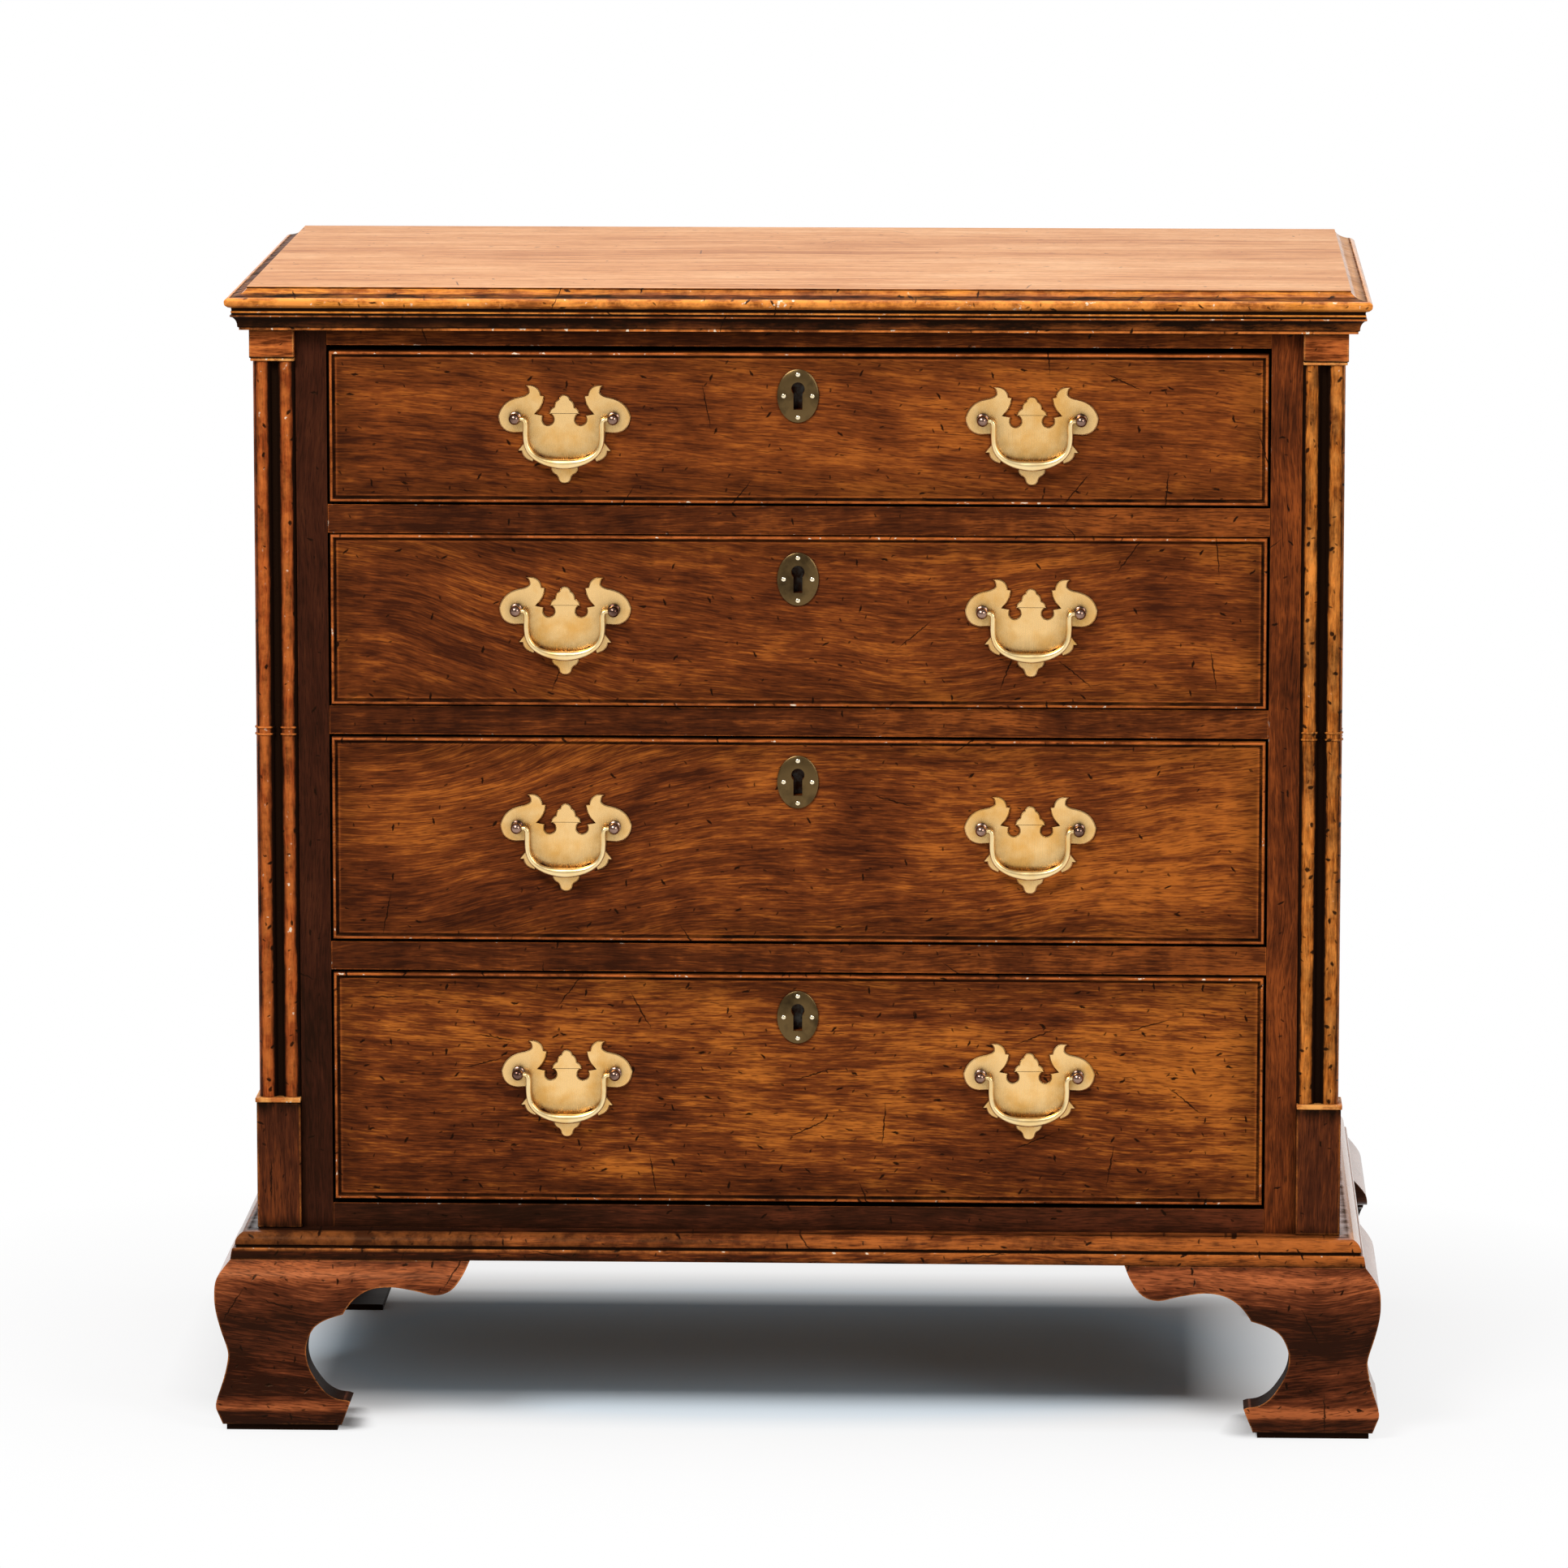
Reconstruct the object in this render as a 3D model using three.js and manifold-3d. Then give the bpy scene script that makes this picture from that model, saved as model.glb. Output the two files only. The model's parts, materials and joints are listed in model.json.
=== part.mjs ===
// Bachelor's chest of four graduated drawers, with cluster columns at its front corners,
// a moulded top and ogee bracket feet. Millimetres, +Z up, drawer fronts facing -Y,
// origin on the floor under the middle of the chest.

import * as THREE from "three";
import { mergeVertices } from "three/addons/utils/BufferGeometryUtils.js";
import Module from "manifold-3d";

const wasm = await Module();
wasm.setup();

// Driving sizes of the case
const blockWidth = 779.4; // over the capitals and plinth blocks
const caseDepth = 459; // face of the blocks to the back
const footSwell = 28.8; // how far the feet swell past the blocks
const sideThickness = 18;
const railSetback = 7; // rails and stiles behind the face of the blocks
const stileWidth = 22;
const railDepth = 58;
const stileReturn = 23;
const seam = 0.3; // glue line between pieces that touch
const letIn = 2; // how far a glue block, guide or stop runs into what carries it
const overrun = 5; // how far a cutting tool runs past what it cuts

// Heights of what stands on what, from the floor up
const footHeight = 124.5;
const baseMouldingHeight = 19.2;
const bottomRailHeight = 36.8;
const dividerThickness = 20.4;
const topRailHeight = 11.8;
const corniceHeight = 11.3;
const topThickness = 19;

// Moulded edges
const flatOverhang = 1; // flat of the top past the blocks
const topMouldingOut = 15; // ridge of the top past its flat
const corniceFoot = 6.3; // lowest fillet of the cornice past the blocks
const corniceOut = 12.2;
const baseBandOut = 18;

// Corner columns
const lobeDiameter = 13;
const lobeSpacing = 17;
const lobeSides = 10;
const capitalHeight = 20.4;
const capitalProud = 2; // past the lobes
const capitalSlab = 2.2;
const capitalSlabProud = 1.2;
const plinthHeight = 95.2;
const plinthSlab = 3.5;
const plinthSlabProud = 2.6;
const plinthProud = 1.7;
const shaftBelowCollar = 266.5;
const collarRise = 6.5;
const collarBead = 1.6;
const collarProud = 0.9;
const collarNeck = 0.3;

// Ogee bracket feet
const frontBracket = 183.3; // length along the front, from the swell
const sideBracket = 165;
const backBracket = 150;
const bracketThickness = 30;
const backBracketThickness = 18;
const glueBlock = 26;
const padHeight = 4.5;
const padInset = 7.5;
const padLength = 80;
const ogeeSteps = 13;
const scrollSteps = 5;

// Inside boards
const bottomThickness = 14;
const dustboardThickness = 10;
const dadoDepth = 5;
const backThickness = 12;
const backRebate = 9;
const plankCount = 4;
const plankGroove = 2.4;
const guideWidth = 8;
const guideHeight = 14;
const guideEnd = 30; // guides and kickers stop short of the back boards
const kickerHeight = 20;
const kickerReach = 16; // kicker past the stile, over the drawer side
const stopWidth = 30;
const stopDepth = 12;
const stopHeight = 6;
const stopOffset = 200;

// Drawer fronts, graduated from the top one down, and the widest gap that wear has left round one
const frontHeight1 = 107.7;
const frontHeight2 = 122.3;
const frontHeight3 = 146.3;
const frontHeight4 = 165.6;
const drawerPlay = 4.2;

// Drawers, from the lowest one up, with the gaps above and below each front as shares of the play
const drawerTable = [
  { name: "drawer_4", frontHeight: frontHeight4, aboveShare: 0.429, belowShare: 0.833 },
  { name: "drawer_3", frontHeight: frontHeight3, aboveShare: 0.5, belowShare: 0.548 },
  { name: "drawer_2", frontHeight: frontHeight2, aboveShare: 0.214, belowShare: 0.31 },
  { name: "drawer_1", frontHeight: frontHeight1, aboveShare: 1, belowShare: 0.5 },
];
const drawerSideGap = 2;
const drawerBackGap = 10.9;
const frontThickness = 20;
const frontProud = 0.9; // drawer face past the rails
const drawerSideThickness = 10;
const drawerBackThickness = 10;
const drawerBottomThickness = 7;
const drawerBottomRise = 8; // underside of the drawer bottom above the side's edge
const grooveDepth = 5;
const runningGap = 0.3;
const sideLower = 3; // drawer sides stand lower than the front's upper edge
const backLower = 6; // drawer back stands lower than its sides
const beadWidth = 3;
const beadProud = 2.4;
const dovetailLap = 6; // wood of the front left before the tails
const dovetailPitch = 34;
const tailShare = 0.5; // narrow end of a tail, in its pitch
const tailFlareShare = 0.18; // widening of a tail on each side, in its length

// Locks and escutcheons
const lockWidth = 62;
const lockHeight = 44;
const lockThickness = 9;
const boltWidth = 20;
const boltThickness = 4;
const boltLength = 26;
const boltThrow = 8;
const boltGap = 0.4;
const mortiseSlack = 1.2;
const escutcheonDrop = 30.7; // its centre below the drawer's upper edge
const escutcheonWidth = 29.5;
const escutcheonHeight = 38;
const escutcheonThickness = 1.4;
const escutcheonSteps = 7;
const keyholeSteps = 5;
const keyholeDiameter = 9.6;
const keySlotWidth = 6.4;
const keyholeHeight = 19.6;

// Swan-neck handles
const handleOffset = 166;
const handleDropShare = 0.437; // pivot below the upper edge, in the front's height
const plateHalfWidth = 47;
const plateThickness = 1.6;
const postSpacing = 69.8;
const postHead = 8.4;
const postHeadRows = 5;
const plateSteps = 2;
const postStem = 5;
const postReach = 8.2; // plate's face to the middle of the post head
const postShank = 4.4;
const shankGap = 0.5;
const shankSides = 6;
const postNut = 11;
const nutSides = 6;
const nutThickness = 4;
const pinDiameter = 3;
const pinGap = 0.25;
const pinDepth = 2.2; // pin hole past the middle of the post head
const bailArmSpan = 54.4; // between the centre lines of the arms
const bailDrop = 32.1;
const bailArm = 3.8;
const bailGrip = 7.2;
const bailGripDepth = 5.4;
const roundSides = 8;

// Places worked out from the sizes above
const totalDepth = caseDepth + footSwell;
const blockFront = -totalDepth / 2 + footSwell;
const backPlane = totalDepth / 2;
const blockHalf = blockWidth / 2;
const caseHalf = blockHalf - capitalProud;
const columnFront = blockFront + capitalProud;
const columnSpan = lobeSpacing + lobeDiameter;
const columnInner = caseHalf - columnSpan;
const columnBack = columnFront + columnSpan;
const railFront = blockFront + railSetback;
const railBack = railFront + railDepth;
const stileOuter = columnInner - seam;
const openingHalf = stileOuter - stileWidth;
const stileBack = columnBack + seam + stileReturn;
const sideInner = caseHalf - sideThickness;
const caseBottom = footHeight + seam;
const baseTop = caseBottom + baseMouldingHeight;
const plinthTop = baseTop + seam + plinthHeight;
const collarMiddle = plinthTop + shaftBelowCollar;
const lowestFloor = caseBottom + bottomRailHeight;
const drawers = layOutDrawers();
const topRailBottom = drawers[0].ceiling;
const corniceBottom = topRailBottom + topRailHeight;
const topUnder = corniceBottom + corniceHeight;
const caseTop = topUnder - seam;
const backInner = backPlane - backThickness;
const drawerFace = railFront - frontProud;
const drawerDepth = backInner - drawerBackGap - drawerFace;
const drawerHalf = openingHalf - drawerSideGap;
const drawerInner = drawerHalf - drawerSideThickness;
const bottomUnder = runningGap + drawerBottomRise;
const bottomUpper = bottomUnder + drawerBottomThickness;
const boltPlane = frontThickness - lockThickness / 2;
const postX = postSpacing / 2;
const headPlane = -seam - plateThickness - postReach;

// Finishes of the woods and metals
const showWood = { color: 0x7a3a1c, roughness: 0.42, metalness: 0 };
const bleachedWood = { color: 0xc98a56, roughness: 0.45, metalness: 0 };
const darkWood = { color: 0x4a2213, roughness: 0.45, metalness: 0 };
const columnWood = { color: 0x9a5122, roughness: 0.38, metalness: 0 };
const insideWood = { color: 0xb58a5c, roughness: 0.75, metalness: 0 };
const polishedBrass = { color: 0xd8b468, roughness: 0.28, metalness: 1 };
const agedBrass = { color: 0x5e4a2a, roughness: 0.42, metalness: 1 };
const lockIron = { color: 0x4b4742, roughness: 0.55, metalness: 1 };

// A closed three.js geometry as a solid that can be joined and cut
function solidOf(geometry) {
  const bare = geometry.index ? geometry.toNonIndexed() : geometry.clone();
  bare.deleteAttribute("normal");
  bare.deleteAttribute("uv");
  const merged = mergeVertices(bare);
  return new wasm.Manifold(
    new wasm.Mesh({
      numProp: 3,
      vertProperties: merged.getAttribute("position").array,
      triVerts: new Uint32Array(merged.index.array),
    }),
  );
}

// A solid turned back into a three.js geometry
function geometryOf(solid) {
  const mesh = solid.getMesh();
  const geometry = new THREE.BufferGeometry();
  geometry.setAttribute("position", new THREE.BufferAttribute(mesh.vertProperties, mesh.numProp));
  geometry.setIndex(new THREE.BufferAttribute(mesh.triVerts, 1));
  geometry.computeVertexNormals();
  return geometry;
}

// The pieces joined, less the tools
function shaped(pieces, tools = []) {
  const joined = pieces.map(solidOf).reduce((a, b) => a.add(b));
  return geometryOf(tools.map(solidOf).reduce((a, b) => a.subtract(b), joined));
}

// A named mesh with its finish
function piece(name, geometry, finish) {
  const mesh = new THREE.Mesh(geometry, new THREE.MeshStandardMaterial(finish));
  mesh.name = name;
  return mesh;
}

// A box between two limits on each axis, its corners just as given, so that faces that meet agree
function block([x0, x1], [y0, y1], [z0, z1]) {
  const corners = [[x0, y0], [x1, y0], [x1, y1], [x0, y1]];
  return loft([z0, z1].map((z) => corners.map(([x, y]) => new THREE.Vector3(x, y, z))));
}

// Both signs, for what stands left and right of the middle
const bothSides = [-1, 1];

// The same span on either side of the middle
function spanBeside(side, near, far) {
  return side > 0 ? [near, far] : [-far, -near];
}

// An outline drawn along an axis: [y, z] pairs for x, [x, z] pairs for y, [x, y] pairs for z
function prism(axis, shape, [from, to], curveSegments = scrollSteps) {
  const depth = to - from;
  const geometry = new THREE.ExtrudeGeometry(shape, { depth, bevelEnabled: false, curveSegments });
  const [x, y, z] = [0, 1, 2].map((i) => new THREE.Vector3().setComponent(i, 1));
  if (axis === "z") return geometry.translate(0, 0, from);
  const turned = new THREE.Matrix4();
  if (axis === "x") return geometry.translate(0, 0, from).applyMatrix4(turned.makeBasis(y, z, x));
  return geometry.translate(0, 0, -to).applyMatrix4(turned.makeBasis(x, z, y.negate()));
}

// An outline shape through pairs
function outline(pairs) {
  return new THREE.Shape(pairs.map(([a, b]) => new THREE.Vector2(a, b)));
}

// A round bar of a few flats along an axis, round a centre in its outline's pair
function bar(axis, diameter, limits, [a, b], sides = roundSides) {
  const turns = Array.from({ length: sides }, (_, i) => ((i + 0.5) / sides) * Math.PI * 2);
  const pairs = turns.map((turn) => [
    a + (diameter / 2) * Math.cos(turn),
    b + (diameter / 2) * Math.sin(turn),
  ]);
  return prism(axis, outline(pairs), limits);
}

// Points along a smooth curve through pairs
function smooth(pairs, steps) {
  const curve = new THREE.SplineCurve(pairs.map(([a, b]) => new THREE.Vector2(a, b)));
  return curve.getPoints(steps).map((p) => [p.x, p.y]);
}

// The faces that close a ring of points, wound the way the ring runs
function capFaces(ring) {
  const normal = new THREE.Vector3();
  ring.forEach((a, i) => {
    const b = ring[(i + 1) % ring.length];
    normal.add(new THREE.Vector3().crossVectors(a.clone().sub(ring[0]), b.clone().sub(ring[0])));
  });
  const sizes = normal.toArray().map(Math.abs);
  const dropped = sizes.indexOf(Math.max(...sizes));
  const kept = [0, 1, 2].filter((i) => i !== dropped);
  const flat = ring.map((p) => new THREE.Vector2(...kept.map((i) => p.getComponent(i))));
  const turn = Math.sign(THREE.ShapeUtils.area(flat));
  return THREE.ShapeUtils.triangulateShape(flat, []).map(([a, b, c]) => {
    const spin = Math.sign(THREE.ShapeUtils.area([flat[a], flat[b], flat[c]]));
    return spin === turn ? [a, b, c] : [a, c, b];
  });
}

// A closed solid through rings of equally many points, capped at its ends or running round
function loft(rings, runsRound = false) {
  const count = rings[0].length;
  const points = rings.flat();
  const faces = [];
  const spans = runsRound ? rings.length : rings.length - 1;
  for (let i = 0; i < spans; i++)
    for (let j = 0; j < count; j++) {
      const next = (j + 1) % count;
      const above = (i + 1) % rings.length;
      const corners = [i * count + j, i * count + next, above * count + next, above * count + j];
      faces.push([corners[0], corners[1], corners[2]], [corners[0], corners[2], corners[3]]);
    }
  if (!runsRound) {
    const last = (rings.length - 1) * count;
    capFaces(rings[0]).forEach(([a, b, c]) => faces.push([a, c, b]));
    capFaces(rings[rings.length - 1]).forEach((face) => faces.push(face.map((i) => i + last)));
  }
  const volume = faces.reduce(
    (sum, [a, b, c]) => sum + points[a].dot(new THREE.Vector3().crossVectors(points[b], points[c])), 0);
  const outward = volume > 0 ? faces : faces.map(([a, b, c]) => [a, c, b]);
  const geometry = new THREE.BufferGeometry();
  const coordinates = points.flatMap((p) => p.toArray());
  geometry.setAttribute("position", new THREE.Float32BufferAttribute(coordinates, 3));
  geometry.setIndex(outward.flat());
  geometry.computeVertexNormals();
  return geometry;
}

// A moulding mitred round the front and both sides of the case, against the rails and side
// boards; its face is a list of [distance past the blocks, height] pairs from the top down
function mouldingRun(face) {
  const [high, low] = [face[0][1], face[face.length - 1][1]];
  const stations = [[-1, false], [-1, true], [1, true], [1, false]];
  return loft(stations.map(([side, front]) => {
    const shown = face.map(([out, z]) => {
      return new THREE.Vector3(side * (blockHalf + out), front ? blockFront - out : backPlane, z);
    });
    const inner = [low, high].map((z) => {
      return new THREE.Vector3(side * (caseHalf + seam), front ? railFront - seam : backPlane, z);
    });
    return [...shown, ...inner];
  }));
}

// Places of the drawers, the top one first: each stands on the bottom rail or on a divider
function layOutDrawers() {
  let floor = lowestFloor;
  const upwards = drawerTable.map(({ name, frontHeight, aboveShare, belowShare }) => {
    const gapBelow = belowShare * drawerPlay;
    const frontTop = gapBelow + frontHeight;
    const ceiling = floor + frontTop + aboveShare * drawerPlay;
    const drawer = { name, frontHeight, gapBelow, frontTop, floor, ceiling };
    floor = ceiling + dividerThickness;
    return drawer;
  });
  return upwards.reverse();
}

// Top board: a moulded edge on the front and sides, plain at the back
function topBoard() {
  const edgeShares = [
    [0, 1], [0, 0.9], [0.22, 0.78], [0.47, 0.68], [0.76, 0.64], [0.92, 0.6],
    [1, 0.48], [0.94, 0.36], [0.8, 0.29], [0.68, 0.25], [0.68, 0],
  ];
  const rings = edgeShares.map(([outShare, riseShare]) => {
    const out = flatOverhang + outShare * topMouldingOut;
    const [half, front] = [blockHalf + out, blockFront - out];
    const z = topUnder + riseShare * topThickness;
    const corners = [[-half, front], [half, front], [half, backPlane], [-half, backPlane]];
    return corners.map(([x, y]) => new THREE.Vector3(x, y, z));
  });
  return piece("top_board", loft(rings), bleachedWood);
}

// Cornice: a small cove planted under the top
function corniceMoulding() {
  const faceShares = [
    [1, 1], [1, 0.92], [0.7, 0.84], [0.4, 0.62], [0.22, 0.36], [0.18, 0.16], [0, 0.1], [0, 0],
  ];
  const face = faceShares.map(([outShare, riseShare]) => [
    corniceFoot + outShare * (corniceOut - corniceFoot),
    corniceBottom + riseShare * (caseTop - corniceBottom),
  ]);
  return piece("cornice_moulding", mouldingRun(face), darkWood);
}

// Base moulding: a quarter round over a quirk and a sloping band
function baseMoulding() {
  const faceShares = [
    [0.31, 1], [0.5, 0.97], [0.66, 0.87], [0.77, 0.73], [0.83, 0.56], [0.83, 0.48],
    [0.79, 0.46], [0.79, 0.41], [0.91, 0.41], [0.96, 0.28], [1, 0],
  ];
  const face = faceShares.map(([outShare, riseShare]) => [
    outShare * baseBandOut,
    caseBottom + riseShare * (baseTop - caseBottom),
  ]);
  return piece("base_moulding", mouldingRun(face), darkWood);
}

// Slot in a side board that houses a board whose upper face is at a height
function dado(top, thickness) {
  return block(
    [sideInner - overrun, sideInner + dadoDepth + seam],
    [stileBack, backPlane + overrun],
    [top - thickness - seam, top + seam],
  );
}

// Side board, housed for the dustboards and the bottom and rebated for the back
function sideBoard(name) {
  const board = block([sideInner, caseHalf], [columnBack + seam, backPlane], [caseBottom, caseTop]);
  const rebate = block(
    [sideInner - overrun, sideInner + backRebate],
    [backInner - seam, backPlane + overrun],
    [caseBottom - overrun, caseTop + overrun],
  );
  const dados = drawers.slice(0, -1).map((drawer) => dado(drawer.floor, dustboardThickness));
  return piece(name, shaped([board], [rebate, ...dados, dado(lowestFloor, bottomThickness)]), showWood);
}

// Front stile, returned behind the column to the side board
function stile(name) {
  const section = outline([
    [openingHalf, railFront], [stileOuter, railFront], [stileOuter, columnBack + seam],
    [sideInner - seam, columnBack + seam], [sideInner - seam, stileBack], [openingHalf, stileBack],
  ]);
  return piece(name, prism("z", section, [caseBottom, caseTop]), darkWood);
}

// One lobe of the cluster, turned with a double-beaded collar
function columnLobe(x, y, low, high) {
  const r = lobeDiameter / 2;
  const [start, end] = [collarMiddle - collarRise / 2, collarMiddle + collarRise / 2];
  const profile = [
    [0, low], [r, low], [r, start], [r + collarProud, start], [r + collarProud, start + collarBead],
    [r + collarNeck, start + collarBead], [r + collarNeck, end - collarBead],
    [r + collarProud, end - collarBead], [r + collarProud, end], [r, end], [r, high], [0, high],
  ];
  const points = profile.map(([radius, height]) => new THREE.Vector2(radius, height));
  return new THREE.LatheGeometry(points, lobeSides).rotateX(Math.PI / 2).translate(x, y, 0);
}

// Corner column: three lobes round a core, between a capital and a plinth block
function column(name) {
  const r = lobeDiameter / 2;
  const [cornerX, cornerY] = [caseHalf - r, columnFront + r];
  const capitalTop = corniceBottom - seam;
  const capitalBottom = capitalTop - capitalHeight;
  const [low, high] = [plinthTop, capitalBottom - capitalSlab];
  const squareBlock = (proud, z0, z1) => block(
    [columnInner, caseHalf + proud], [columnFront - proud, columnBack], [z0, z1]);
  const tenon = (z0, z1) => block([columnInner, caseHalf], [railFront, columnBack], [z0, z1]);
  const places = [[cornerX, cornerY], [cornerX - lobeSpacing, cornerY], [cornerX, cornerY + lobeSpacing]];
  const core = block([columnInner, cornerX], [cornerY, columnBack], [caseBottom, caseTop]);
  const solid = shaped([
    core,
    tenon(caseBottom, baseTop + seam),
    squareBlock(plinthProud, baseTop + seam, plinthTop - plinthSlab),
    squareBlock(plinthSlabProud, plinthTop - plinthSlab, low),
    ...places.map(([x, y]) => columnLobe(x, y, low, high)),
    squareBlock(capitalSlabProud, high, capitalBottom),
    squareBlock(capitalProud, capitalBottom, capitalTop),
    tenon(capitalTop, caseTop),
  ], [
    block([columnInner - overrun, columnInner], [columnFront - overrun, columnBack + overrun], [low, high]),
    block([columnInner - overrun, caseHalf + overrun], [columnBack, columnBack + overrun], [low, high]),
  ]);
  return piece(name, solid, columnWood);
}

// Mortise in the underside of a rail for the bolt of the drawer below
function boltMortise(underside) {
  const plane = drawerFace + boltPlane;
  const reach = boltThickness / 2 + mortiseSlack;
  return block(
    [-boltWidth / 2 - mortiseSlack, boltWidth / 2 + mortiseSlack],
    [plane - reach, plane + reach],
    [underside - overrun, underside + boltThrow + mortiseSlack],
  );
}

// Stops glued behind a drawer front on the rail that it shuts over
function drawerStops(top) {
  const start = drawerFace + frontThickness + seam;
  return bothSides.map((side) => block(
    spanBeside(side, stopOffset - stopWidth / 2, stopOffset + stopWidth / 2),
    [start, start + stopDepth],
    [top - letIn, top + stopHeight],
  ));
}

// Guides beside the path of a drawer, on the board that it runs on
function drawerGuides(top, front) {
  return bothSides.map((side) => block(
    spanBeside(side, openingHalf, openingHalf + guideWidth),
    [front, backInner - guideEnd],
    [top - letIn, top + guideHeight],
  ));
}

// Rail between the stiles
function railBlock(z0, z1) {
  return block([-openingHalf + seam, openingHalf - seam], [railFront, railBack], [z0, z1]);
}

// Top rail, with kickers that keep the top drawer level as it opens
function topRail() {
  const kickers = bothSides.map((side) => block(
    spanBeside(side, openingHalf - kickerReach, sideInner - seam),
    [stileBack + seam, backInner - guideEnd],
    [topRailBottom, topRailBottom + kickerHeight],
  ));
  const solid = shaped([railBlock(topRailBottom, caseTop), ...kickers], [boltMortise(topRailBottom)]);
  return piece("top_rail", solid, darkWood);
}

// Divider: a rail with a dustboard behind it, guides and stops for the drawer above
function divider(name, top) {
  const boardHalf = sideInner + dadoDepth;
  const front = stileBack + seam;
  const dustboard = block(
    [-boardHalf, boardHalf], [front, backInner - seam], [top - dustboardThickness, top]);
  const underside = top - dividerThickness;
  const solid = shaped(
    [railBlock(underside, top), dustboard, ...drawerGuides(top, front), ...drawerStops(top)],
    [boltMortise(underside)],
  );
  return piece(name, solid, darkWood);
}

// Bottom rail, behind the base moulding, with the stops for the lowest drawer
function bottomRail() {
  const solid = shaped([railBlock(caseBottom, lowestFloor), ...drawerStops(lowestFloor)]);
  return piece("bottom_rail", solid, darkWood);
}

// Bottom board that the lowest drawer runs on
function bottomBoard() {
  const boardHalf = sideInner + dadoDepth;
  const front = railBack + seam;
  const board = block(
    [-boardHalf, boardHalf], [front, backInner - seam], [lowestFloor - bottomThickness, lowestFloor]);
  return piece("bottom_board", shaped([board, ...drawerGuides(lowestFloor, front)]), insideWood);
}

// Back boards, joined edge to edge with a shallow V along each joint
function backBoards() {
  const rise = (caseTop - caseBottom) / plankCount;
  const joints = Array.from({ length: plankCount - 1 }, (_, i) => caseBottom + (i + 1) * rise);
  const section = outline([
    [backInner, caseTop], [backInner, caseBottom], [backPlane, caseBottom],
    ...joints.flatMap((z) => [
      [backPlane, z - plankGroove / 2], [backPlane - plankGroove / 2, z], [backPlane, z + plankGroove / 2],
    ]),
    [backPlane, caseTop],
  ]);
  const half = sideInner + backRebate - seam;
  return piece("back_boards", prism("x", section, [-half, half]), insideWood);
}

// Swell of a foot: [distance past the blocks, height] pairs from the pad up
function ogeeProfile() {
  const swellShares = [
    [0.83, 0], [0.98, 0.1], [0.97, 0.15], [0.8, 0.28], [0.71, 0.38], [0.71, 0.45], [0.86, 0.58],
    [0.97, 0.7], [1, 0.8], [0.94, 0.9], [baseBandOut / footSwell, 1],
  ];
  const rise = footHeight - padHeight;
  const pairs = swellShares.map(([outShare, riseShare]) => [
    outShare * footSwell, padHeight + riseShare * rise,
  ]);
  return smooth(pairs, ogeeSteps);
}

// Scrolled edge of a bracket: [distance from the swell, height] pairs from the toe to the wing
function bracketScroll(length) {
  const place = ([alongShare, riseShare]) => [
    alongShare * length, padHeight + riseShare * (footHeight - padHeight),
  ];
  const toeShares = [[0.495, 0], [0.532, 0.15]];
  const hollowShares = [
    [0.516, 0.16], [0.427, 0.21], [0.369, 0.36], [0.353, 0.44], [0.369, 0.53], [0.448, 0.67],
  ];
  const wingShares = [[0.513, 0.7], [0.55, 0.78], [0.61, 0.84], [0.69, 0.86], [0.784, 0.84], [0.868, 0.81],
    [0.93, 0.84], [0.974, 0.92], [1, 1]];
  return [
    ...toeShares.map(place),
    ...smooth(hollowShares.map(place), 2 * scrollSteps),
    ...smooth(wingShares.map(place), 2 * scrollSteps),
  ];
}

// Plain scooped edge of the bracket at the back
function backScoop(length) {
  const scoopShares = [[0.5, 0], [0.42, 0.25], [0.45, 0.5], [0.62, 0.7], [1, 0.82]];
  return smooth(scoopShares.map(([alongShare, riseShare]) => [
    alongShare * length, padHeight + riseShare * (footHeight - padHeight),
  ]), scrollSteps);
}

// What a bracket's edge leaves open, as pairs laid out by a function of the distance along it
function openUnder(edge, length, along) {
  const beyond = length + overrun;
  const ends = [[beyond, footHeight + overrun], [beyond, -overrun], [edge[0][0], -overrun]];
  return outline([...edge, [edge[edge.length - 1][0], footHeight + overrun], ...ends]
    .map(([distance, z]) => [along(distance), z]));
}

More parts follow.
